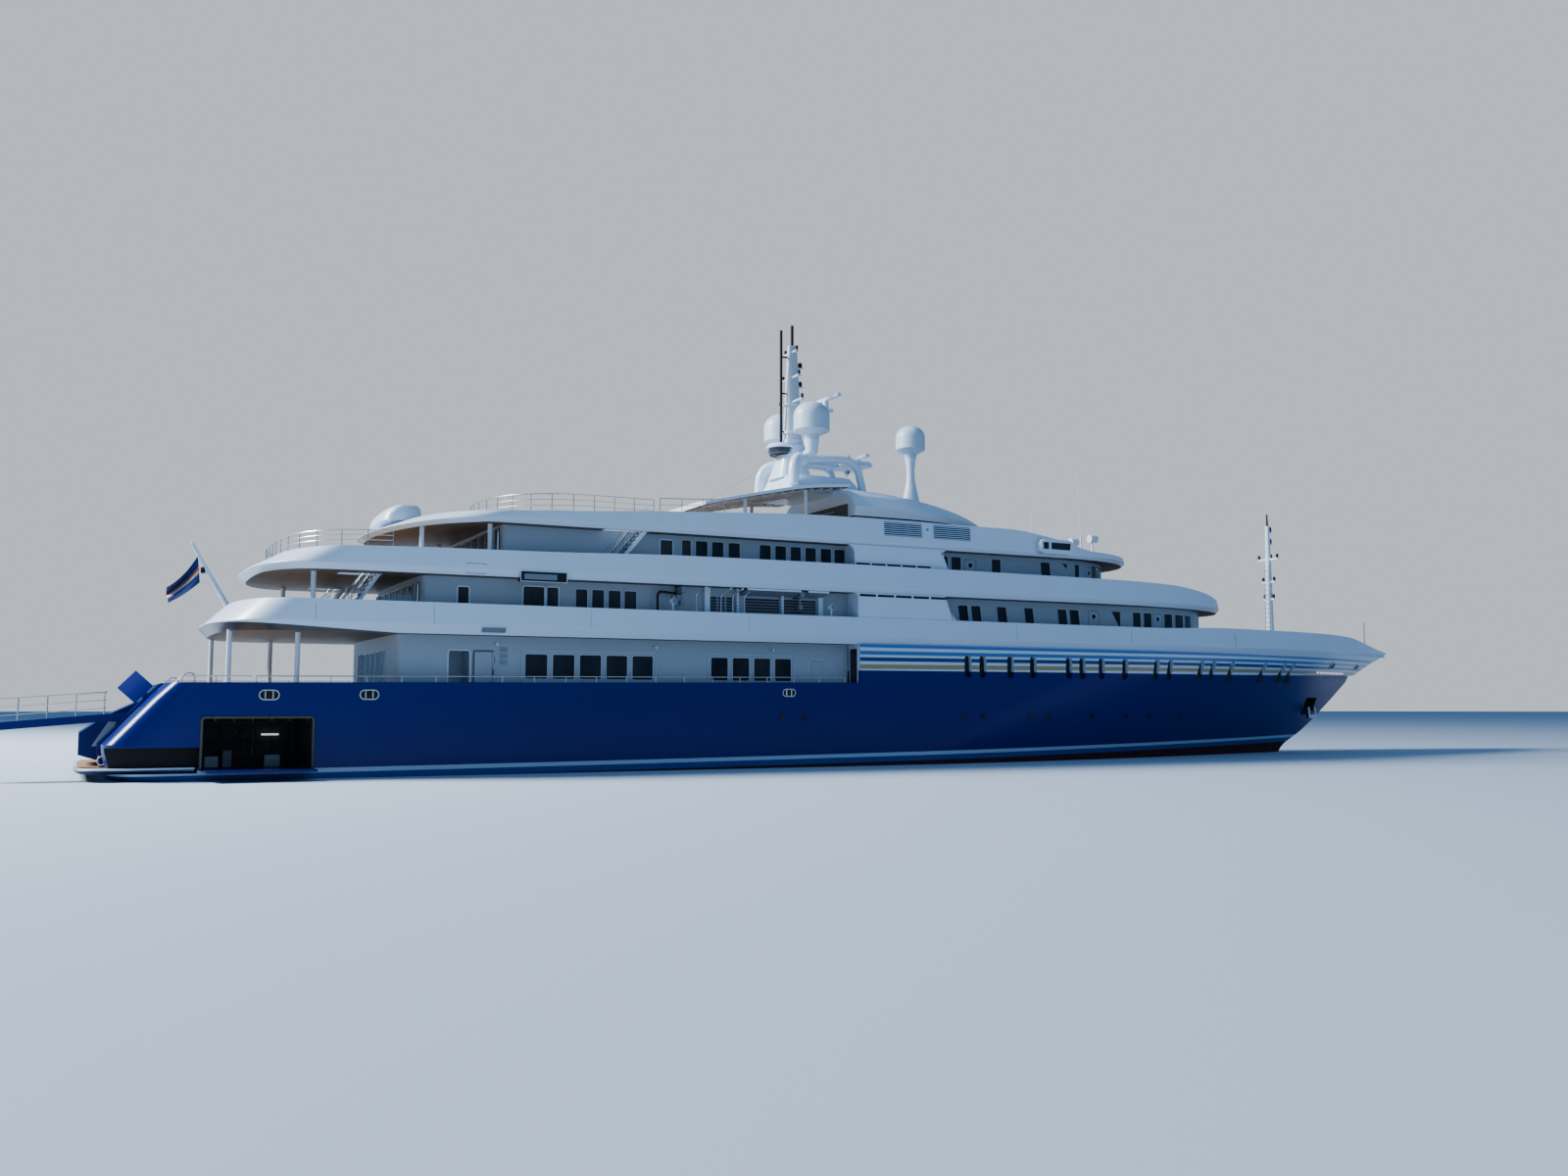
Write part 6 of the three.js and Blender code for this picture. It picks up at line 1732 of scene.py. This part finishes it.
class YACHT_OT_mast(bpy.types.Operator):
    """Radar mast: a housing, curved arms, a tapered spar with lamps, and a dark pole behind it"""

    bl_idname = "yacht.mast"
    bl_label = "Radar Mast"

    def execute(self, context):
        housing = [(16.1, -9.2, -3.3, 2.6), (16.9, -8.8, -3.9, 2.25), (17.3, -8.6, -4.2, 2.0)]
        tower = [(17.25, -8.9, -6.6, 1.2), (18.2, -8.6, -6.8, 0.85), (19.4, -8.4, -6.9, 0.7)]
        shape = pillar(housing, 5, 32, WHITE).join(pillar(tower, 4, 28, WHITE))
        shape.join(pillar([(19.35, -8.15, -7.0, 0.42), (25.7, -7.85, -7.3, 0.2)], 4, 20, MAST))
        for low, high, fore in ((19.4, 19.75, -6.95), (20.1, 20.28, -7.02), (21.9, 22.0, -7.08)):
            shape.join(pillar([(low, -8.2, fore, 0.46), (high, -8.2, fore, 0.46)], 4, 20, WHITE))
        for side in (-1, 1):
            arm = [(-8.7, side * 2.3, 16.6), (-8.6, side * 2.2, 18.25), (-7.3, side * 1.3, 18.45),
                   (-7.3, side * 0.5, 18.35)]
            shape.join(tube(bent(arm, 1.1, 9), 0.34, 14, finish=WHITE))
            shape.join(rods([-7.3, side * 0.5, 18.35], [-7.3, side * 2.0, 18.8], 0.34, 0.3, 16, WHITE))
            seat = [(0.28, 0), (0.36, 0.1), (0.4, 0.5), (0.46, 0.86), (0.46, 0.9 - GAP)]
            shape.join(lathe(seat, (-7.3, side * 2.0, 18.55), 24, finish=WHITE))
            stay = [(-3.6, side * 1.95, 16.2), (-3.9, side * 1.5, 18.55), (-7.2, side * 1.0, 18.5)]
            shape.join(tube(bent(stay, 0.9, 9), 0.24, 12, finish=WHITE))
        shape.join(pillar([(18.33, -4.6, -2.4, 1.3), (18.62, -4.5, -2.5, 1.2)], 8, 24, WHITE))
        shape.join(pillar([(18.3, -7.2, -4.4, 0.45), (18.6, -7.2, -4.4, 0.4)], 6, 24, WHITE))
        shape.join(boxes((-7.3, -0.28, 21.75), (-4.8, 0.28, 21.95), WHITE))
        for x, low, high in ((-5.2, 21.9, 22.18), (-2.9, 18.5, 18.63)):
            shape.join(rods([x, 0, low], [x, 0, high], 0.2, sides=16))
        for z, half in ((22.05, 1.5), (23.6, 1.1), (25.2, 0.8)):
            shape.join(boxes((-7.75, -half, z), (-7.55, half, z + 0.1), MAST))
            for y in (-half + 0.06, half - 0.06):
                shape.join(drum((-7.65, y, z + 0.1), (0.05, 0.09, 0.04), (0.04, 0.24, 0.28), 12))
        shape.join(rods([-8.35, 0, 19.3], [-8.35, 0, 26.6], 0.09, sides=12, finish=BLACK))
        for z in (20.2, 22.6, 24.9):
            shape.join(boxes((-8.35, -0.05, z), (-7.6, 0.05, z + 0.08), BLACK))
        for z in (21.3, 23.1, 24.3):
            shape.join(boxes((-7.3, -0.14, z), (-6.85, 0.14, z + 0.05), WHITE))
            shape.join(drum((-7.02, 0, z + 0.05), (0.1, 0.13, 0.06), (0.05, 0.3, 0.36), 14))
        feet, heads = spread(-7.58, 0, (25.6, 26.5)), spread(-7.58, 0, (26.55, 27.0))
        shape.join(rods(feet, heads, 0.1, sides=12, finish=BLACK))
        cap = [(0.95, 0), (0.97, 0.08), (0.85, 0.25), (0.2, 0.26)]
        shape.join(lathe(cap, (-8.3, 0, 19.15), 32, finish=WHITE))
        for z in np.arange(18.78, 19.14, 0.07):
            shape.join(lathe([(0.78, 0), (0.84, 0.02), (0.78, 0.04)], (-8.3, 0, z), 28, finish=GREY))
        shape.join(rods([-8.3, 0, 18.7], [-8.3, 0, 19.16], 0.74, sides=28, finish=BLACK))
        small_dome = np.array([(0.7, 0), (1, 0.4), (1, 1), (0.6, 1.7), (0.1, 1.95)])
        for x, y, size in ((-4.2, -1.1, 0.16), (-4.2, 1.1, 0.16), (-4.34, 0.55, 0.13)):
            shape.join(lathe(small_dome * size, (x, y, 18.62), 16, finish=WHITE))
        shape.join(spotlight((-4.6, -1.6, 17.75), (0.2, -1, -0.1), 0.15))
        fitting("mast_tower", shape, slot="white_paint", stands_for=["radar_mast"])
        for name, x, y, z, radius, tall in RADOMES:
            dome = lathe(dome_profile(radius, 0.62, tall, radius * 0.38), (x, y, z), 48)
            piece(f"{name}_shell", dome, [radome_paint()], slot="radome_white", stands_for=[name])
        stalk = [(0.75, 15.5), (0.55, 16.6), (0.38, 17.4), (0.28, 17.9), (0.26, 18.6), (0.34, 19.2),
                 (0.36, 19.35 - GAP)]
        fitting("radome_stalk_shell", lathe(stalk, (1.1, 0, 0), 28), slot="white_paint",
                stands_for=["radome_stalk"])
        return {"FINISHED"}


class YACHT_OT_aerials(bpy.types.Operator):
    """Whip aerials, searchlight and lamps on the sun deck, and the wing stations' windows"""

    bl_idname = "yacht.aerials"
    bl_label = "Aerials"

    def execute(self, context):
        shape = Shape()
        for x, y, top, lean in (
                (13.8, -1.5, 19.4, -0.28), (12.0, -1.5, 16.7, 0), (8.2, 0, 18.5, 0), (12.0, 1.5, 16.7, 0)):
            middle = SUN_FLOOR + (top - SUN_FLOOR) * 0.3
            shape.join(rods([x, y, SUN_FLOOR + GAP], [x, y, middle], 0.055, sides=10, finish=WHITE))
            shape.join(rods([x, y, middle], [x + lean, y, top], 0.022, 0.012, 8, WHITE))
        for y in (-1.0, 1.0):
            shape.join(rods([15.2, y, SUN_FLOOR + GAP], [15.2, y, 14.5], 0.07, sides=12, finish=WHITE))
            shape.join(rods([14.95, y, 14.8], [15.5, y, 14.83], 0.27, 0.3, 20, WHITE))
            shape.join(rods([15.5, y, 14.83], [15.53, y, 14.83], 0.26, sides=20, finish=LAMP))
        shape.join(rods([-15.0, -4.0, 14.95], [-9.0, -1.2, 18.3], 0.012, sides=6, finish=STEEL))
        wing = flat_wall(HALF_BEAM)
        glass = corner_pane(wing, [(6.7, 13.0), (8.15, 13.0), (8.2, 13.42), (6.7, 13.42)], 0.012)
        aft = corner_pane(wing, [(6.1, 13.0), (6.5, 13.0), (6.5, 13.42), (6.1, 13.42)], 0.012)
        shape.join(glass.join(aft).mirrored())
        fitting("sun_deck_aerials", shape)
        return {"FINISHED"}


class YACHT_OT_foredeck(bpy.types.Operator):
    """Foremast with its lamps, windlass, bollards and hatches"""

    bl_idname = "yacht.foredeck"
    bl_label = "Foredeck"

    def execute(self, context):
        floor = UPPER_FLOOR + GAP
        pole = [(0.42, 0), (0.42, 0.06), (0.3, 0.12), (0.3, 0.2), (0.16, 9.7)]
        shape = lathe(pole, (33.0, 0, floor), 28, finish=WHITE)
        shape.join(rods([33.0, 0, 16.85], [33.0, 0, 17.8], 0.08, 0.06, 12, BLACK))
        for z, half in ((14.3, 0.95), (12.6, 0.6), (11.3, 0.5)):
            shape.join(pillar([(z, 32.92, 33.08, half), (z + 0.14, 32.92, 33.08, half)], 6, 20, WHITE))
            for y in (-half + 0.08, half - 0.08):
                shape.join(drum((33.0, y, z + 0.14), (0.06, 0.1, 0.05), (0.04, 0.26, 0.3), 14))
        for z in (14.36, 15.52, 16.42):
            shape.join(boxes((32.95, -0.12, z), (33.42, 0.12, z + 0.08), WHITE))
            shape.join(drum((33.28, 0, z + 0.08), (0.07, 0.11, 0.05), (0.04, 0.3, 0.36), 16))
        sides = (-0.16, 0.16)
        for z in np.arange(7.9, 13.8, 0.35):
            shape.join(rods([32.66, sides[0], z], [32.66, sides[1], z], 0.015, finish=STEEL))
        shape.join(rods(spread(32.66, sides, 7.4), spread(32.8, sides, 14.0), 0.02, finish=STEEL))
        fitting("foremast_tower", shape, slot="white_paint", stands_for=["foremast"])
        shape = boxes((35.1, -1.5, floor), (36.9, 1.5, floor + 0.12), STEEL)
        gypsy = [(0.36, 0), (0.4, 0.05), (0.3, 0.12), (0.3, 0.26), (0.38, 0.33)]
        capstan = [(0.26, 0), (0.28, 0.06), (0.19, 0.14), (0.18, 0.3), (0.27, 0.4), (0.28, 0.46), (0.1, 0.5)]
        for y in (-0.9, 0.9):
            shape.join(lathe(gypsy, (36.0, y, floor + 0.1), 28, finish=STEEL))
            shape.join(lathe(capstan, (36.0, y, floor + 0.4), 28, finish=STEEL))
            shape.join(boxes((35.25, y - 0.25, floor + 0.1), (35.8, y + 0.25, floor + 0.5), WHITE))
        fitting("windlass_gear", shape, slot="stainless", stands_for=["windlass"])
        shape, bollard = Shape(), [
            (0.14, 0), (0.11, 0.06), (0.11, 0.34), (0.16, 0.4), (0.16, 0.45), (0.05, 0.47)]
        for x, y in ((38.6, -1.5), (34.0, -3.0), (30.0, -3.9), (-37.9, -6.2), (-34.0, -6.5)):
            z = floor if x > 0 else MAIN_FLOOR + GAP
            for at in (x - 0.25, x + 0.25):
                shape.join(lathe(bollard, (at, y, z), 20, finish=STEEL))
            shape.join(boxes((x - 0.5, y - 0.16, z), (x + 0.5, y + 0.16, z + 0.04), STEEL))
        for x, y in ((27.5, -1.2), (30.3, -1.2)):
            shape.join(boxes((x - 0.42, y - 0.42, floor), (x + 0.42, y + 0.42, floor + 0.1), WHITE))
            shape.join(boxes((x - 0.34, y - 0.34, floor + 0.1), (x + 0.34, y + 0.34, floor + 0.12), GLASS))
        fitting("deck_fittings", shape.mirrored())
        return {"FINISHED"}


class YACHT_OT_ensign(bpy.types.Operator):
    """Ensign that hangs from its staff in soft folds: dark blue with two pale stripes"""

    bl_idname = "yacht.ensign"
    bl_label = "Ensign"

    def execute(self, context):
        hoist, fly, rows, columns = 1.4, 2.4, 49, 81
        top, bottom = np.array([-41.15, 0, 10.85]), np.array([-41.02, 0, 9.5])
        tail = np.array([-42.45, 0, 8.4])
        down, along = np.meshgrid(np.linspace(0, 1, rows), np.linspace(0, 1, columns), indexing="ij")
        start = top + (bottom - top) * down[..., None]
        end = np.array([-42.55, 0, 9.15]) + (tail - np.array([-42.55, 0, 9.15])) * down[..., None]
        middle = (start + end) / 2 + np.array([0.12, 0, -0.28]) * (1 - down[..., None] * 0.6)
        t = along[..., None]
        sheet = start * (1 - t) ** 2 + middle * 2 * t * (1 - t) + end * t ** 2
        fold = np.sin(2 * np.pi * (down * 1.15 - along * 0.3 + 0.1)) * along ** 0.6

        def area(points):
            first, second = points[1:, 1:] - points[:-1, :-1], points[1:, :-1] - points[:-1, 1:]
            return np.linalg.norm(np.cross(first, second), axis=-1).sum() / 2

        low, high = 0.0, 1.0
        for _ in range(40):
            depth = (low + high) / 2
            sheet[..., 1] = fold * depth
            low, high = (depth, high) if area(sheet) < hoist * fly else (low, depth)
        finish, colours = Finish("ensign_cloth"), paint()
        place = finish.node("ShaderNodeAttribute", {"attribute_name": "cut"}, output="Vector")
        across, up, _ = finish.axes(place)
        weave = (across.seam(0.004, 0.002) + up.seam(0.004, 0.002)) * 0.5
        colour = finish.mix(up.between(0.36, 0.48), colours.cloth, (0.62, 0.60, 0.55))
        colour = finish.mix(up.between(0.48, 0.60), colour, (0.55, 0.13, 0.03))
        colour = finish.mix(finish.noise(place, 2.0) * 0.3, colour, (0.02, 0.03, 0.06))
        cloth = finish.coat(base_color=colour, roughness=0.85, specular_ior_level=0.2, sheen_weight=0.1,
                            normal=finish.bump(weave, 0.0006))
        shape = Shape().add(sheet, grid_faces(rows, columns))
        mesh = shape.mesh("ensign_cloth", [cloth], 180)
        cut = mesh.attributes.new("cut", "FLOAT_VECTOR", "POINT")
        cut.data.foreach_set("vector", spread(along * fly / hoist, 1 - down, 0.0).ravel())
        made = bpy.data.objects.new("ensign_cloth", mesh)
        context.scene.collection.objects.link(made)
        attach(made, "ship")
        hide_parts("ensign")
        foot, tip = np.array([-39.72, 0, float(upper_top(-39.72))]), np.array([-41.42, 0, 11.4])
        pole = rods(foot - (tip - foot) * 0.03, tip, 0.14, 0.08, 16, WHITE)
        pole.join(drum(tip - [0, 0, 0.02], (0.06, 0.11, 0.03), (0.04, 0.1, 0.16), 16, WHITE))
        pole.join(rods([-41.0, 0, 9.5], [-40.36, 0, 9.5], 0.012, finish=STEEL))
        pole.join(boxes((-41.0, -0.1, 9.9), (-40.6, 0.1, 9.96), WHITE))
        pole.join(drum((-40.9, 0, 9.96), (0.08, 0.11, 0.05), (0.04, 0.28, 0.32), 14))
        fitting("ensign_staff_pole", pole, slot="white_paint", stands_for=["ensign_staff"])
        return {"FINISHED"}


class YACHT_OT_plain_nodes(bpy.types.Operator):
    """Finishes of the CAD nodes that keep their own shape"""

    bl_idname = "yacht.plain_nodes"
    bl_label = "Carried-over Nodes"

    def execute(self, context):
        finishes = {
            "swim_platform": hull_paint, "main_deck_house": shaded_house_paint, "side_panel": white_paint,
            "stern_stair": teak, "bridge_deck_stair": white_paint, "sun_deck_stair": white_paint,
            "wing_station": white_paint, "hardtop": white_paint, "top_fairing": white_paint,
            "radar_mast": white_paint, "radome": radome_paint, "radar_scanner": white_paint,
            "foremast": white_paint, "jackstaff": stainless, "windlass": stainless,
            "ensign_staff": white_paint, "ensign": hull_paint, "shaft_line": stainless, "anchor": stainless,
            "main_deck_door": shaded_house_paint, "garage_door": hull_paint, "garage_door_starboard": door_paint,
            "stern_lid": lid_paint, "passerelle": hull_paint, "propeller": bronze, "rudder": antifouling,
            "stabiliser_fin": antifouling, "tender_davit": grey_paint,
        }
        for name, node in frame["nodes"].items():
            family = max((key for key in finishes if name.startswith(key)), key=len, default=None)
            if family:
                node.data.materials.clear()
                node.data.materials.append(finishes[family]())
        return {"FINISHED"}


class YACHT_OT_stage(bpy.types.Operator):
    """Pale floor at the waterline, soft light and the camera of the photograph"""

    bl_idname = "yacht.stage"
    bl_label = "Stage"

    def execute(self, context):
        stage = context.scene.yacht_stage
        finish = Finish("floor")
        ship = finish.ship()
        tone = finish.noise(ship, 0.02)
        colour = finish.mix(tone, stage.floor_colour, [c * 0.97 for c in stage.floor_colour])
        finish.coat(base_color=colour, roughness=0.7 + tone * 0.1, specular_ior_level=0.1)
        angle = np.linspace(0, 2 * np.pi, 96, endpoint=False)
        disc = np.stack([np.cos(angle), np.sin(angle), np.zeros(96)], 1) * stage.floor_radius / MODEL
        mesh = Shape().add(disc, [np.arange(96)]).mesh("floor", [finish.material], 30)
        floor = bpy.data.objects.new("floor", mesh)
        context.scene.collection.objects.link(floor)
        world = bpy.data.worlds.new("studio")
        world.use_nodes = True
        tree = world.node_tree
        seen, soft = tree.nodes["Background"], tree.nodes.new("ShaderNodeBackground")
        for sky, tone, strength in (
                (seen, (0.80, 0.86, 0.95, 1.0), 0.8), (soft, (0.24, 0.53, 1.0, 1.0), 0.45)):
            sky.inputs["Color"].default_value, sky.inputs["Strength"].default_value = tone, strength
        chosen, path = tree.nodes.new("ShaderNodeMixShader"), tree.nodes.new("ShaderNodeLightPath")
        tree.links.new(path.outputs["Is Camera Ray"], chosen.inputs[0])
        tree.links.new(soft.outputs[0], chosen.inputs[1])
        tree.links.new(seen.outputs[0], chosen.inputs[2])
        tree.links.new(chosen.outputs[0], tree.nodes["World Output"].inputs["Surface"])
        context.scene.world = world
        for name, power, place, size, colour in (
                ("key", stage.key_power, (-15.0, 6.0, 11.0), 6.0, (1.0, 0.99, 0.97)),
                ("fill", stage.key_power * 0.035, (0.0, -18.0, 9.0), 14.0, (0.5, 0.75, 1.0))):
            light = bpy.data.lights.new(name, "AREA")
            light.energy, light.size, light.color = power, size, colour
            lamp = bpy.data.objects.new(name, light)
            context.scene.collection.objects.link(lamp)
            lamp.location = place
            aim = np.array([0.0, 0.0, 0.8]) - np.array(place)
            tilt = math.pi - math.acos(aim[2] / np.linalg.norm(aim))
            lamp.rotation_euler = (tilt, 0, math.atan2(aim[1], aim[0]) - math.pi / 2)
        camera = bpy.data.objects.new("camera", bpy.data.cameras.new("camera"))
        camera.data.sensor_width, camera.data.lens = 36.0, stage.lens
        camera.data.clip_start, camera.data.clip_end = 0.05, 400.0
        camera.location, camera.rotation_euler = stage.camera_place, stage.camera_turn
        context.scene.collection.objects.link(camera)
        context.scene.camera = camera
        return {"FINISHED"}


OPERATORS = [
    YACHT_OT_stage, YACHT_OT_plain_nodes, YACHT_OT_hull, YACHT_OT_topsides, YACHT_OT_decks, YACHT_OT_houses,
    YACHT_OT_windows, YACHT_OT_rails, YACHT_OT_stairs, YACHT_OT_main_fittings, YACHT_OT_tender_bay,
    YACHT_OT_upper_fittings, YACHT_OT_band_fittings, YACHT_OT_hull_fittings, YACHT_OT_garage, YACHT_OT_stern,
    YACHT_OT_passerelle, YACHT_OT_hardtop, YACHT_OT_fairing, YACHT_OT_mast, YACHT_OT_aerials,
    YACHT_OT_foredeck, YACHT_OT_ensign,
]
GROUPS = {"yacht_paint": YachtPaint, "yacht_fit": YachtFit, "yacht_stage": YachtStage}


class YACHT_PT_panel(bpy.types.Panel):
    """The yacht's pieces and their sizes"""

    bl_idname = "YACHT_PT_panel"
    bl_label = "Motor Yacht"
    bl_space_type = "VIEW_3D"
    bl_region_type = "UI"
    bl_category = "Yacht"

    def draw(self, context):
        for name, group in GROUPS.items():
            box = self.layout.box()
            for field in group.__annotations__:
                box.prop(getattr(context.scene, name), field)
        for operator in OPERATORS:
            self.layout.operator(operator.bl_idname)


def register():
    for group in GROUPS.values():
        bpy.utils.register_class(group)
    for name, group in GROUPS.items():
        setattr(bpy.types.Scene, name, PointerProperty(type=group))
    for operator in (*OPERATORS, YACHT_PT_panel):
        bpy.utils.register_class(operator)


def unregister():
    for operator in (YACHT_PT_panel, *reversed(OPERATORS)):
        bpy.utils.unregister_class(operator)
    for name, group in GROUPS.items():
        delattr(bpy.types.Scene, name)
        bpy.utils.unregister_class(group)


def main():
    register()
    for operator in OPERATORS:
        family, name = operator.bl_idname.split(".")
        getattr(getattr(bpy.ops, family), name)()
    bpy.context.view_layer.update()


if __name__ == "__main__":
    main()
